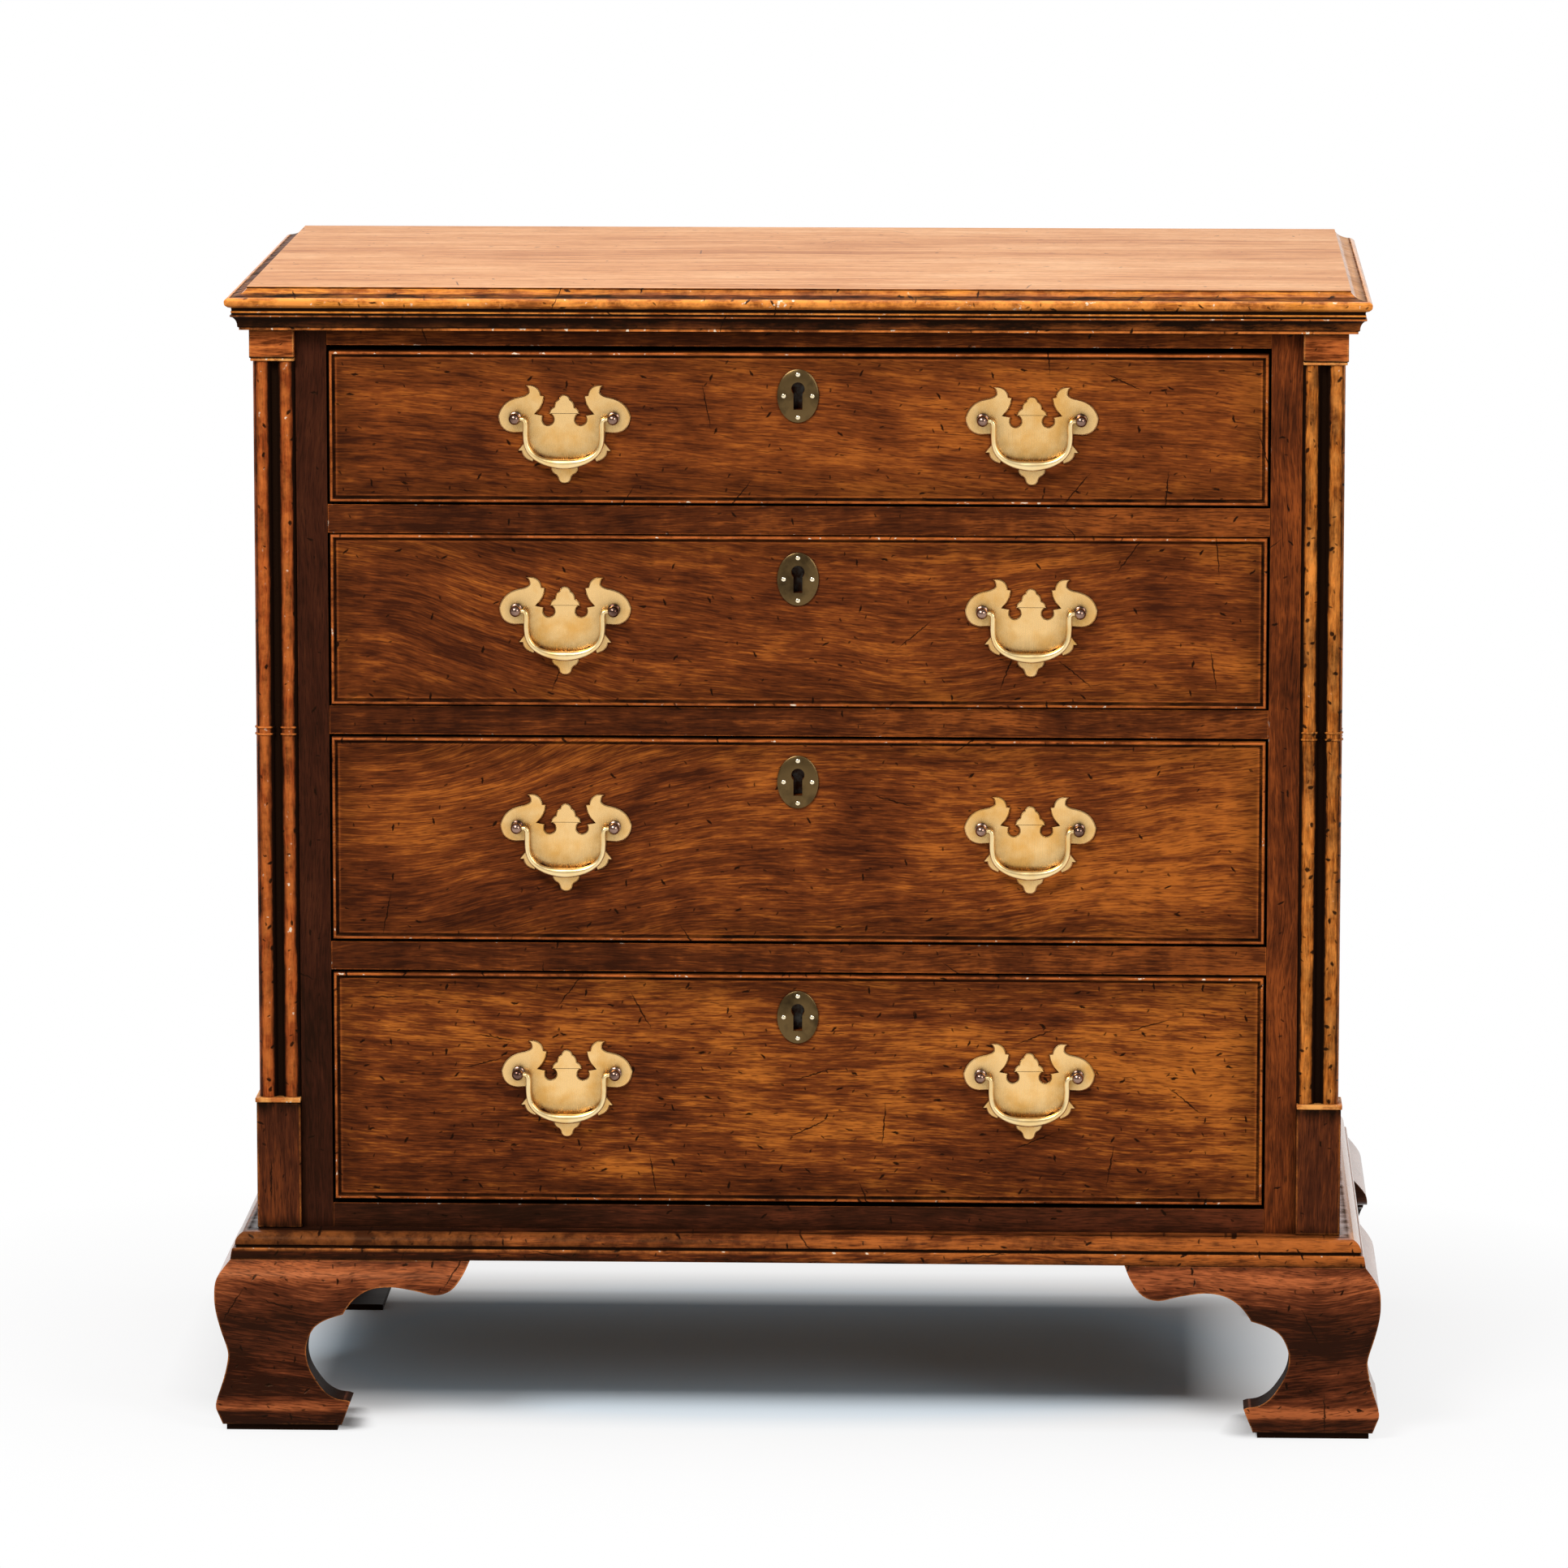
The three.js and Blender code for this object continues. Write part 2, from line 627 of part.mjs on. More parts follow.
// Bracket foot: two brackets mitred at the corner, a glue block behind them and a pad
function foot(name, atBack) {
  const acrossLength = atBack ? backBracket : frontBracket;
  const acrossThickness = atBack ? backBracketThickness : bracketThickness;
  const xAt = (distance) => blockHalf + footSwell - distance;
  const yAt = (distance) => (atBack ? backPlane - distance : blockFront - footSwell + distance);
  const ySpan = (near, far) => [yAt(near), yAt(far)].sort((a, b) => a - b);
  const rings = ogeeProfile().map(([out, z]) => {
    const [x0, x1] = [xAt(acrossLength), xAt(footSwell - out)];
    const [y0, y1] = ySpan(atBack ? 0 : footSwell - out, sideBracket);
    return [[x0, y0], [x1, y0], [x1, y1], [x0, y1]].map(([x, y]) => new THREE.Vector3(x, y, z));
  });
  const heights = [-overrun, footHeight + overrun];
  const hollow = block(
    [xAt(acrossLength + overrun), xAt(bracketThickness)],
    ySpan(acrossThickness, sideBracket + overrun),
    heights,
  );
  const acrossEdge = atBack ? backScoop(acrossLength) : bracketScroll(acrossLength);
  const acrossOpen = prism(
    "y", openUnder(acrossEdge, acrossLength, xAt), ySpan(-overrun, sideBracket + overrun));
  const sideOpen = prism(
    "x", openUnder(bracketScroll(sideBracket), sideBracket, yAt),
    [xAt(acrossLength + overrun), xAt(-overrun)]);
  const brackets = shaped([loft(rings)], [hollow, acrossOpen, sideOpen]);
  const corner = block(
    [xAt(bracketThickness + glueBlock), xAt(bracketThickness - letIn)],
    ySpan(acrossThickness - letIn, acrossThickness + glueBlock),
    [padHeight - letIn, footHeight],
  );
  const padStart = atBack ? 0 : padInset;
  const pad = block(
    [xAt(padInset + padLength), xAt(padInset)], ySpan(padStart, padStart + padLength), [0, padHeight]);
  return piece(name, shaped([brackets, corner, pad]), showWood);
}

// Tails of a drawer side: the height of each one's middle, and its half width at a depth
function tailPlan(drawer) {
  const top = drawer.frontTop - sideLower;
  const count = Math.max(2, Math.round((top - runningGap) / dovetailPitch));
  const pitch = (top - runningGap) / count;
  const middles = Array.from({ length: count }, (_, i) => runningGap + (i + 0.5) * pitch);
  const halfAt = (depth) => (tailShare * pitch) / 2 + tailFlareShare * (frontThickness - depth);
  return { top, middles, halfAt };
}

// Keyhole: a round hole over a slot, as seen from the front
function keyholeShape(kind, middle) {
  const r = keyholeDiameter / 2;
  const half = keySlotWidth / 2;
  const [high, low] = [middle + keyholeHeight / 2 - r, middle - keyholeHeight / 2];
  const lean = Math.asin(half / r);
  const shape = new kind();
  shape.moveTo(-half, low).lineTo(half, low);
  shape.lineTo(half, high - r * Math.cos(lean));
  shape.absarc(0, high, r, lean - Math.PI / 2, 1.5 * Math.PI - lean, false);
  return shape;
}

// Drawer front with a cockbead round its edge, half-blind sockets, a lock pocket and holes
function drawerFront(drawer) {
  const { frontTop: top, gapBelow: low } = drawer;
  const board = block([-drawerHalf, drawerHalf], [0, frontThickness], [low, top]);
  const beadShares = [[0, -0.3], [0, 0.5], [0.2, 0.87], [0.5, 1], [0.8, 0.87], [1, 0.5], [1, -0.3]];
  const bead = loft([[-1, low, 1], [1, low, 1], [1, top, -1], [-1, top, -1]].map(([side, z, up]) => {
    return beadShares.map(([insetShare, proudShare]) => {
      const inset = insetShare * beadWidth;
      return new THREE.Vector3(side * (drawerHalf - inset), -proudShare * beadProud, z + up * inset);
    });
  }), true);
  const plan = tailPlan(drawer);
  const beyond = frontThickness + overrun;
  const sockets = plan.middles.map((middle) => outline([
    [dovetailLap, middle - plan.halfAt(dovetailLap) - seam], [beyond, middle - plan.halfAt(beyond) - seam],
    [beyond, middle + plan.halfAt(beyond) + seam], [dovetailLap, middle + plan.halfAt(dovetailLap) + seam],
  ]));
  const socketCuts = bothSides.flatMap((side) => sockets.map((socket) => {
    return prism("x", socket, spanBeside(side, drawerInner - seam, drawerHalf + overrun));
  }));
  const groove = block(
    [-drawerInner - grooveDepth - seam, drawerInner + grooveDepth + seam],
    [frontThickness - grooveDepth - seam, beyond],
    [bottomUnder - seam, bottomUpper + seam],
  );
  const pocket = block(
    [-lockWidth / 2 - seam, lockWidth / 2 + seam],
    [frontThickness - lockThickness - seam, beyond],
    [top - lockHeight - seam, top + overrun],
  );
  const keyhole = prism(
    "y", keyholeShape(THREE.Shape, top - escutcheonDrop), [-overrun, beyond], keyholeSteps);
  const pivot = handlePivot(drawer);
  const postPlaces = bothSides.flatMap((side) => bothSides.map((end) => side * handleOffset + end * postX));
  const postHoles = postPlaces.map((x) => bar(
    "y", postShank + 2 * shankGap, [-overrun, beyond], [x, pivot], shankSides));
  return shaped([board, bead], [...socketCuts, groove, pocket, keyhole, ...postHoles]);
}

// Drawer box: two sides with tails at their front ends, and the back between them
function drawerBox(drawer) {
  const plan = tailPlan(drawer);
  const [root, tip] = [frontThickness + seam, dovetailLap + seam];
  const side = outline([
    [drawerDepth, plan.top], [drawerDepth, runningGap], [root, runningGap],
    ...plan.middles.flatMap((middle) => [
      [root, middle - plan.halfAt(root)], [tip, middle - plan.halfAt(tip)],
      [tip, middle + plan.halfAt(tip)], [root, middle + plan.halfAt(root)],
    ]),
    [root, plan.top],
  ]);
  const sides = bothSides.map((end) => prism("x", side, spanBeside(end, drawerInner, drawerHalf)));
  const back = block(
    [-drawerHalf, drawerHalf],
    [drawerDepth - drawerBackThickness, drawerDepth],
    [bottomUpper + seam, plan.top - backLower],
  );
  const grooves = bothSides.map((end) => block(
    spanBeside(end, drawerInner - overrun, drawerInner + grooveDepth + seam),
    [-overrun, drawerDepth + overrun],
    [bottomUnder - seam, bottomUpper + seam],
  ));
  return shaped([...sides, back], grooves);
}

// Lock case let into the back of a front, open at its top for the bolt
function lockCase(drawer) {
  const top = drawer.frontTop;
  const body = block(
    [-lockWidth / 2, lockWidth / 2],
    [frontThickness - lockThickness, frontThickness],
    [top - lockHeight, top],
  );
  const reach = boltThickness / 2 + boltGap;
  const slot = block(
    [-boltWidth / 2 - boltGap, boltWidth / 2 + boltGap],
    [boltPlane - reach, boltPlane + reach],
    [top - boltLength - boltGap, top + overrun],
  );
  return shaped([body], [slot]);
}

// Lock bolt, flush with the top of its case when unlocked
function lockBolt(drawer) {
  const top = drawer.frontTop;
  return block(
    [-boltWidth / 2, boltWidth / 2],
    [boltPlane - boltThickness / 2, boltPlane + boltThickness / 2],
    [top - boltLength, top],
  );
}

// Oval escutcheon with its keyhole
function escutcheon() {
  const shape = new THREE.Shape();
  shape.absellipse(0, 0, escutcheonWidth / 2, escutcheonHeight / 2, 0, 2 * Math.PI);
  shape.holes.push(keyholeShape(THREE.Path, 0));
  return prism("y", shape, [-seam - escutcheonThickness, -seam], escutcheonSteps);
}

// Half outline of the backplate, from the tip of its finial round to the foot of its pendant:
// pairs are ends of straight edges, and fours are a bend's control point and its end
function platePath() {
  const unit = plateHalfWidth;
  const topShare = 0.355;
  const finialShares = [
    [0.068, 0.351, 0.085, 0.281], [0.145, 0.255, 0.151, 0.168], [0.219, 0.14, 0.228, 0.066],
  ];
  const eyeShares = { x: 0.247, z: -0.021, radius: 0.089 };
  const eyeTurn = { from: 1.78, to: 7.02 };
  const hornShares = [
    [0.443, 0.062], [0.32, 0.16, 0.302, 0.338], [0.357, 0.347],
    [0.372, 0.479, 0.513, 0.504], [0.596, 0.494], [0.528, 0.457, 0.536, 0.389],
    [0.564, 0.336, 0.681, 0.317], [0.947, 0.266, 1, 0.03], [0.989, -0.209, 0.766, -0.23],
    [0.62, -0.22], [0.606, -0.36], [0.709, -0.502], [0.649, -0.506], [0.634, -0.628, 0.477, -0.668],
    [0.44, -0.58], [0.36, -0.565], [0.287, -0.615], [0.19, -0.65], [0.204, -0.777],
    [0.187, -0.843, 0.132, -0.864], [0.098, -0.889, 0.091, -0.936], [0.072, -0.996, 0, -0.996],
  ];
  const path = new THREE.Path().moveTo(0, topShare * unit);
  const draw = (shares) => {
    const places = shares.map((share) => share * unit);
    if (places.length === 2) path.lineTo(...places);
    else path.quadraticCurveTo(...places);
  };
  finialShares.forEach(draw);
  const [eyeX, eyeZ, eyeRadius] = [eyeShares.x, eyeShares.z, eyeShares.radius].map((share) => share * unit);
  path.absarc(eyeX, eyeZ, eyeRadius, eyeTurn.from, eyeTurn.to, false);
  hornShares.forEach(draw);
  return path;
}

// Backplate with its two posts, their shanks and the nuts behind the drawer front
function handlePlate() {
  const half = platePath().getPoints(plateSteps).map((p) => [p.x, p.y]);
  const mirrored = half.slice(1, -1).reverse().map(([x, z]) => [-x, z]);
  const plate = prism("y", outline([...half, ...mirrored]), [-seam - plateThickness, -seam]);
  const nutFace = frontThickness + seam;
  const posts = bothSides.flatMap((side) => {
    const place = [side * postX, 0];
    const head = new THREE.SphereGeometry(postHead / 2, roundSides, postHeadRows);
    return [
      bar("y", postStem, [headPlane, -seam], place),
      head.translate(place[0], headPlane, place[1]),
      bar("y", postShank, [headPlane, nutFace + nutThickness], place, shankSides),
      bar("y", postNut, [nutFace, nutFace + nutThickness], place, nutSides),
    ];
  });
  const pinHoles = bothSides.map((side) => bar(
    "x", pinDiameter + 2 * pinGap, spanBeside(side, postX - postHead, postX + pinDepth), [headPlane, 0]));
  return shaped([plate, ...posts], pinHoles);
}

// Swan-neck bail: pins, arms and a swelling grip in one loop, hanging from the origin
function handleBail() {
  const arm = bailArmSpan / 2;
  const pinEnd = postX + pinDepth - pinGap;
  const bendShares = [
    [1, -0.09], [1, -0.36], [0.965, -0.58], [0.855, -0.755], [0.645, -0.89], [0.355, -0.972],
  ];
  const swellShares = [0, 0, 0.03, 0.09, 0.25, 0.62];
  const half = [
    { x: pinEnd, z: 0, width: pinDiameter, depth: pinDiameter },
    { x: arm + bailArm / 2, z: 0, width: pinDiameter, depth: pinDiameter },
    ...bendShares.map(([xShare, zShare], i) => ({
      x: xShare * arm,
      z: zShare * bailDrop,
      width: bailArm + swellShares[i] * (bailGrip - bailArm),
      depth: bailArm + swellShares[i] * (bailGripDepth - bailArm),
    })),
  ];
  const middle = { x: 0, z: -bailDrop, width: bailGrip, depth: bailGripDepth };
  const stations = [...half, middle, ...half.toReversed().map((s) => ({ ...s, x: -s.x }))];
  return loft(stations.map((station, i) => {
    const before = stations[Math.max(i - 1, 0)];
    const after = stations[Math.min(i + 1, stations.length - 1)];
    const along = new THREE.Vector2(after.x - before.x, after.z - before.z).normalize();
    return Array.from({ length: roundSides }, (_, k) => {
      const turn = ((k + 0.5) / roundSides) * 2 * Math.PI;
      const across = (station.width / 2) * Math.cos(turn);
      return new THREE.Vector3(
        station.x - along.y * across, (station.depth / 2) * Math.sin(turn), station.z + along.x * across);
    });
  }));
}

const plateGeometry = handlePlate();
const bailGeometry = handleBail();
const escutcheonGeometry = escutcheon();

// Height of a drawer's handle pivots above its floor
function handlePivot(drawer) {
  return drawer.frontTop - handleDropShare * drawer.frontHeight;
}

// A whole drawer, in its own frame: its face at y = 0, its floor at z = 0
function drawerGroup(drawer) {
  const group = new THREE.Group();
  const bottom = block(
    [-drawerInner - grooveDepth, drawerInner + grooveDepth],
    [frontThickness - grooveDepth, drawerDepth],
    [bottomUnder, bottomUpper],
  );
  const rose = piece(drawer.name + "_escutcheon", escutcheonGeometry, agedBrass);
  rose.position.z = drawer.frontTop - escutcheonDrop;
  group.add(
    piece(drawer.name + "_front", drawerFront(drawer), showWood),
    piece(drawer.name + "_box", drawerBox(drawer), insideWood),
    piece(drawer.name + "_bottom", bottom, insideWood),
    piece(drawer.name + "_lock", lockCase(drawer), lockIron),
    piece(drawer.name + "_lock_bolt", lockBolt(drawer), agedBrass),
    rose,
  );
  bothSides.forEach((side) => {
    const hand = side < 0 ? "_left" : "_right";
    const plate = piece(drawer.name + hand + "_plate", plateGeometry, polishedBrass);
    const bail = piece(drawer.name + hand + "_bail", bailGeometry, polishedBrass);
    plate.position.set(side * handleOffset, 0, handlePivot(drawer));
    bail.position.set(side * handleOffset, headPlane, handlePivot(drawer));
    group.add(plate, bail);
  });
  group.position.set(0, drawerFace, drawer.floor);
  return group;
}

// The pieces of the case that stand at its right, or mirrored at its left
function caseHand(hand) {
  const group = new THREE.Group();
  group.add(
    sideBoard(hand + "_side"),
    stile(hand + "_stile"),
    column(hand + "_column"),
    foot("front_" + hand + "_foot", false),
    foot("rear_" + hand + "_foot", true),
  );
  group.scale.x = hand === "left" ? -1 : 1;
  return group;
}

const chest = new THREE.Group();
chest.add(
  topBoard(), corniceMoulding(), topRail(),
  ...drawers.slice(0, -1).map((drawer, i) => divider("divider_" + (i + 1), drawer.floor)),
  bottomRail(), bottomBoard(), backBoards(), baseMoulding(),
  caseHand("left"), caseHand("right"),
  ...drawers.map(drawerGroup),
);

export default chest;
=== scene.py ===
"""A bachelor's chest of four drawers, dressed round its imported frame.

The solids of the frame give every place. Each class below is one sub-assembly: it holds its own
sizes in millimetres, builds the meshes that are finer than the frame's, and dresses all its pieces.
"""

from __future__ import annotations

import json
import logging
import math
from collections.abc import Callable, Iterable, Sequence
from dataclasses import dataclass, field
from enum import Enum

import bmesh
import bpy
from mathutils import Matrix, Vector

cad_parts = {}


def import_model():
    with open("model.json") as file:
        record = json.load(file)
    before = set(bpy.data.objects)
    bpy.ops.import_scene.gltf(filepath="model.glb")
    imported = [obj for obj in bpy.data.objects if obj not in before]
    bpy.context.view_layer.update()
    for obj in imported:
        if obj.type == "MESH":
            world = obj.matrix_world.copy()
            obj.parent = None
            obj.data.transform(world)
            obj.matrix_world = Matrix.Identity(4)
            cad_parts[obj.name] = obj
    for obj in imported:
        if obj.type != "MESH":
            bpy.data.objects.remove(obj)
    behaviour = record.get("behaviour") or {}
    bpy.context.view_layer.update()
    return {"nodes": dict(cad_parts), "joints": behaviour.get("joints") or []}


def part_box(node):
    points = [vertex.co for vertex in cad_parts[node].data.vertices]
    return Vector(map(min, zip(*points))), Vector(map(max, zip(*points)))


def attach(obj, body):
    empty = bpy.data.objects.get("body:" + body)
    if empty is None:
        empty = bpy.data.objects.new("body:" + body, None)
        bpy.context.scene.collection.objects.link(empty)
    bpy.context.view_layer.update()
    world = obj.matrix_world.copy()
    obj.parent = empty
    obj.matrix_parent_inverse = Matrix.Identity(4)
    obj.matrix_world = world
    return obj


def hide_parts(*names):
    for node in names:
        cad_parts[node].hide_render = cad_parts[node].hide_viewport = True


log = logging.getLogger("chest")

MM = 0.001
# points nearer than this are one point
MERGE_MM = 0.001
# depth of the relief that dents and pores give
RELIEF_MM = 0.4
# sum of x and y on the mitre of the right-hand returns
MITRE = 0.1746
WHITE = (1.0, 1.0, 1.0, 1.0)
# least height of the normal of a face that looks straight up
LEVEL_NORMAL = 0.99
ROOT = "root"

Pair = tuple[float, float]
Points = list[Vector]
Material = bpy.types.Material
Object = bpy.types.Object
Nodes = dict[str, Object]
Lay = Callable[[float, float, float], Vector]
Socket = bpy.types.NodeSocket
Value = float | tuple[float, ...] | Socket


class Hand(Enum):
    """Side of the chest, as a sign on X."""

    LEFT = -1
    RIGHT = 1

    @property
    def word(self) -> str:
        """The side's name in the names of nodes."""
        return self.name.lower()


class Grain(Enum):
    """Axis that the fibres of a board run along, as the order of its along, across and through axes."""

    ACROSS = (0, 2, 1)
    DEEP = (1, 2, 0)
    UPRIGHT = (2, 0, 1)
    SIDE = (2, 1, 0)
    FLAT = (0, 1, 2)


def linear(code: str) -> tuple[float, float, float, float]:
    """Turns an sRGB hex colour to linear light.

    Args:
        code: Six hex digits.

    Returns:
        Red, green, blue and an alpha of one.
    """
    shares = [int(code[i : i + 2], 16) / 255 for i in (0, 2, 4)]
    parts = [s / 12.92 if s <= 0.04045 else ((s + 0.055) / 1.055) ** 2.4 for s in shares]
    return parts[0], parts[1], parts[2], 1.0


def put(
    tree: bpy.types.NodeTree,
    kind: str,
    inputs: dict[int | str, Value] | None = None,
    output: int | str = 0,
    stops: Sequence[tuple[float, Value]] = (),
    **settings: str | float | bool,
) -> Socket:
    """Adds a shader node, sets it and links it.

    Args:
        tree: Node tree that it goes into.
        kind: Node type after "ShaderNode".
        inputs: Value or socket for each named or numbered input.
        output: Output socket that is handed back.
        stops: Places and colours of a colour ramp.
        **settings: Properties of the node.

    Returns:
        The output socket, or the node's first input where it has no output.
    """
    made = tree.nodes.new("ShaderNode" + kind)
    for name, value in settings.items():
        setattr(made, name, value)
    for place, value in (inputs or {}).items():
        if isinstance(value, Socket):
            tree.links.new(value, made.inputs[place])
        else:
            made.inputs[place].default_value = value
    if stops:
        ramp = made.color_ramp.elements
        while len(ramp) < len(stops):
            ramp.new(1.0)
        for element, (place, colour) in zip(ramp, stops):
            element.position = place
            element.color = colour if isinstance(colour, tuple) else (colour, colour, colour, 1.0)
    return made.outputs[output] if made.outputs else made.inputs[0]


def new_material(name: str) -> tuple[Material, bpy.types.NodeTree]:
    """Starts an empty node material.

    Args:
        name: Name of the finish.

    Returns:
        The material and its node tree.
    """
    material = bpy.data.materials.new(name)
    material.use_nodes = True
    material.node_tree.nodes.clear()
    return material, material.node_tree


@dataclass(frozen=True)
class Push:
    """Push on the stripes of a board round a spot, as a branch or a bent trunk leaves it."""

    x: float
    z: float
    half_width: float
    half_height: float
    push: float


@dataclass(frozen=True)
class Dash:
    """Dents and scratches: at most one in each cell of a loose net, each at its own angle."""

    cell: float
    length: float
    width: float
    share: float
    depth: float


KNOCKS = Dash(34.0, 6.5, 2.0, 0.5, 0.95)
NICKS = Dash(15.0, 3.6, 1.5, 0.35, 0.75)
# real scratches are 0.3 mm wide, drawn wider so that they show
SCRATCHES = Dash(80.0, 36.0, 1.2, 0.5, 0.9)
SPOTS = Dash(17.0, 5.0, 3.0, 0.3, 0.95)

# a drawer front's bead and the quirk inside it, as shares by millimetres from its edge: wear with painted
# highlight on the bead, painted shade in the quirk and the gap outside
BEAD_WEAR = ((0.2, 0.2), (0.6, 0.85), (1.6, 0.75), (2.2, 0.0), (4.3, 0.0), (4.9, 0.3), (5.9, 0.0))
BEAD_EDGE = ((2.2, 1.0), (2.3, 0.0), (4.2, 0.0), (4.4, 1.0))
BEAD_SHADE = ((0.1, 0.8), (0.5, 0.0), (1.9, 0.0), (2.3, 1.0), (4.0, 1.0), (4.6, 0.0), (5.6, 0.3))
# the darker band inside them, as shares of a front's own edge shade
BEAD_BAND = ((7.0, 1.0), (14.0, 0.6), (28.0, 0.0))


@dataclass(frozen=True)
class Mahogany:
    """Old solid mahogany, waxed for two centuries.

    The eye gets warm red-brown stripes under a low gloss, short dark pores along the fibres, dents
    full of black wax, the same wax with painted shade in every corner, and orange wood where hands
    have worn the arrises, which also paints their highlights.
    """

    name: str
    dark: str
    mid: str
    light: str
    grain: Grain = Grain.ACROSS
    band_mm: float = 9.0
    streak_mm: float = 1.3
    # how much longer the stripes run than in a common board
    longer: float = 1.0
    # real pores are 0.2 mm wide, drawn wider so that they show
    pore_mm: float = 0.9
    wave_mm: float = 4.0
    curl: float = 0.07
    lean: float = 0.0
    pushes: tuple[Push, ...] = ()
    contrast: float = 1.0
    dents: float = 0.5
    dashes: tuple[Dash, ...] = (KNOCKS, NICKS, SCRATCHES)
    edge_shade: float = 0.0
    # how far the dark wax and the painted shade marked on the mesh are torn at their edges, as flaked wax is
    ragged: float = 1.3
    # colour of rubbed wood, which also paints highlights on arrises, beads and rolls
    worn: str = "d07a34"
    # colour of dark wax, which also paints shade in corners and hollows
    grime_and_shade: str = "140804"
    # colour and amount of pale flecks painted as glints on bare edges
    glint: str = "f2dcc0"
    glints: float = 0.5
    # painted light: lighter where the wood looks up, and painted light and shade by height above the floor
    upward_light: float = 0.0
    light_by_height: tuple[Pair, ...] = ()
    # painted shade on what faces the middle of the chest, and up to a height above the floor
    inward_shade: float = 0.0
    shaded_below_mm: float = 0.0
    # colour of painted light on the returns that face the chest's right
    bleached: str | None = None
    arris_mm: float = 1.6
    arris: float = 0.7
    roughness: float = 0.36
    coat: float = 0.0
    seed: float = 0.0
    # lighter towards the chest's right
    fade: float = 0.0
    specular: float = 0.14
    # old wax throws back a warm light
    gleam: str = "f0b080"
    # limits of a drawer front in x and z
    box_mm: tuple[float, float, float, float] | None = None
    # plain wood behind the show wood of a rail
    inner: str | None = None
    inner_from_mm: float = 0.0

    def build(self) -> Material:
        """Makes the material.

        Returns:
            The finished node material.
        """
        material, tree = new_material(self.name)
        WoodNodes(self, tree).build()
        return material


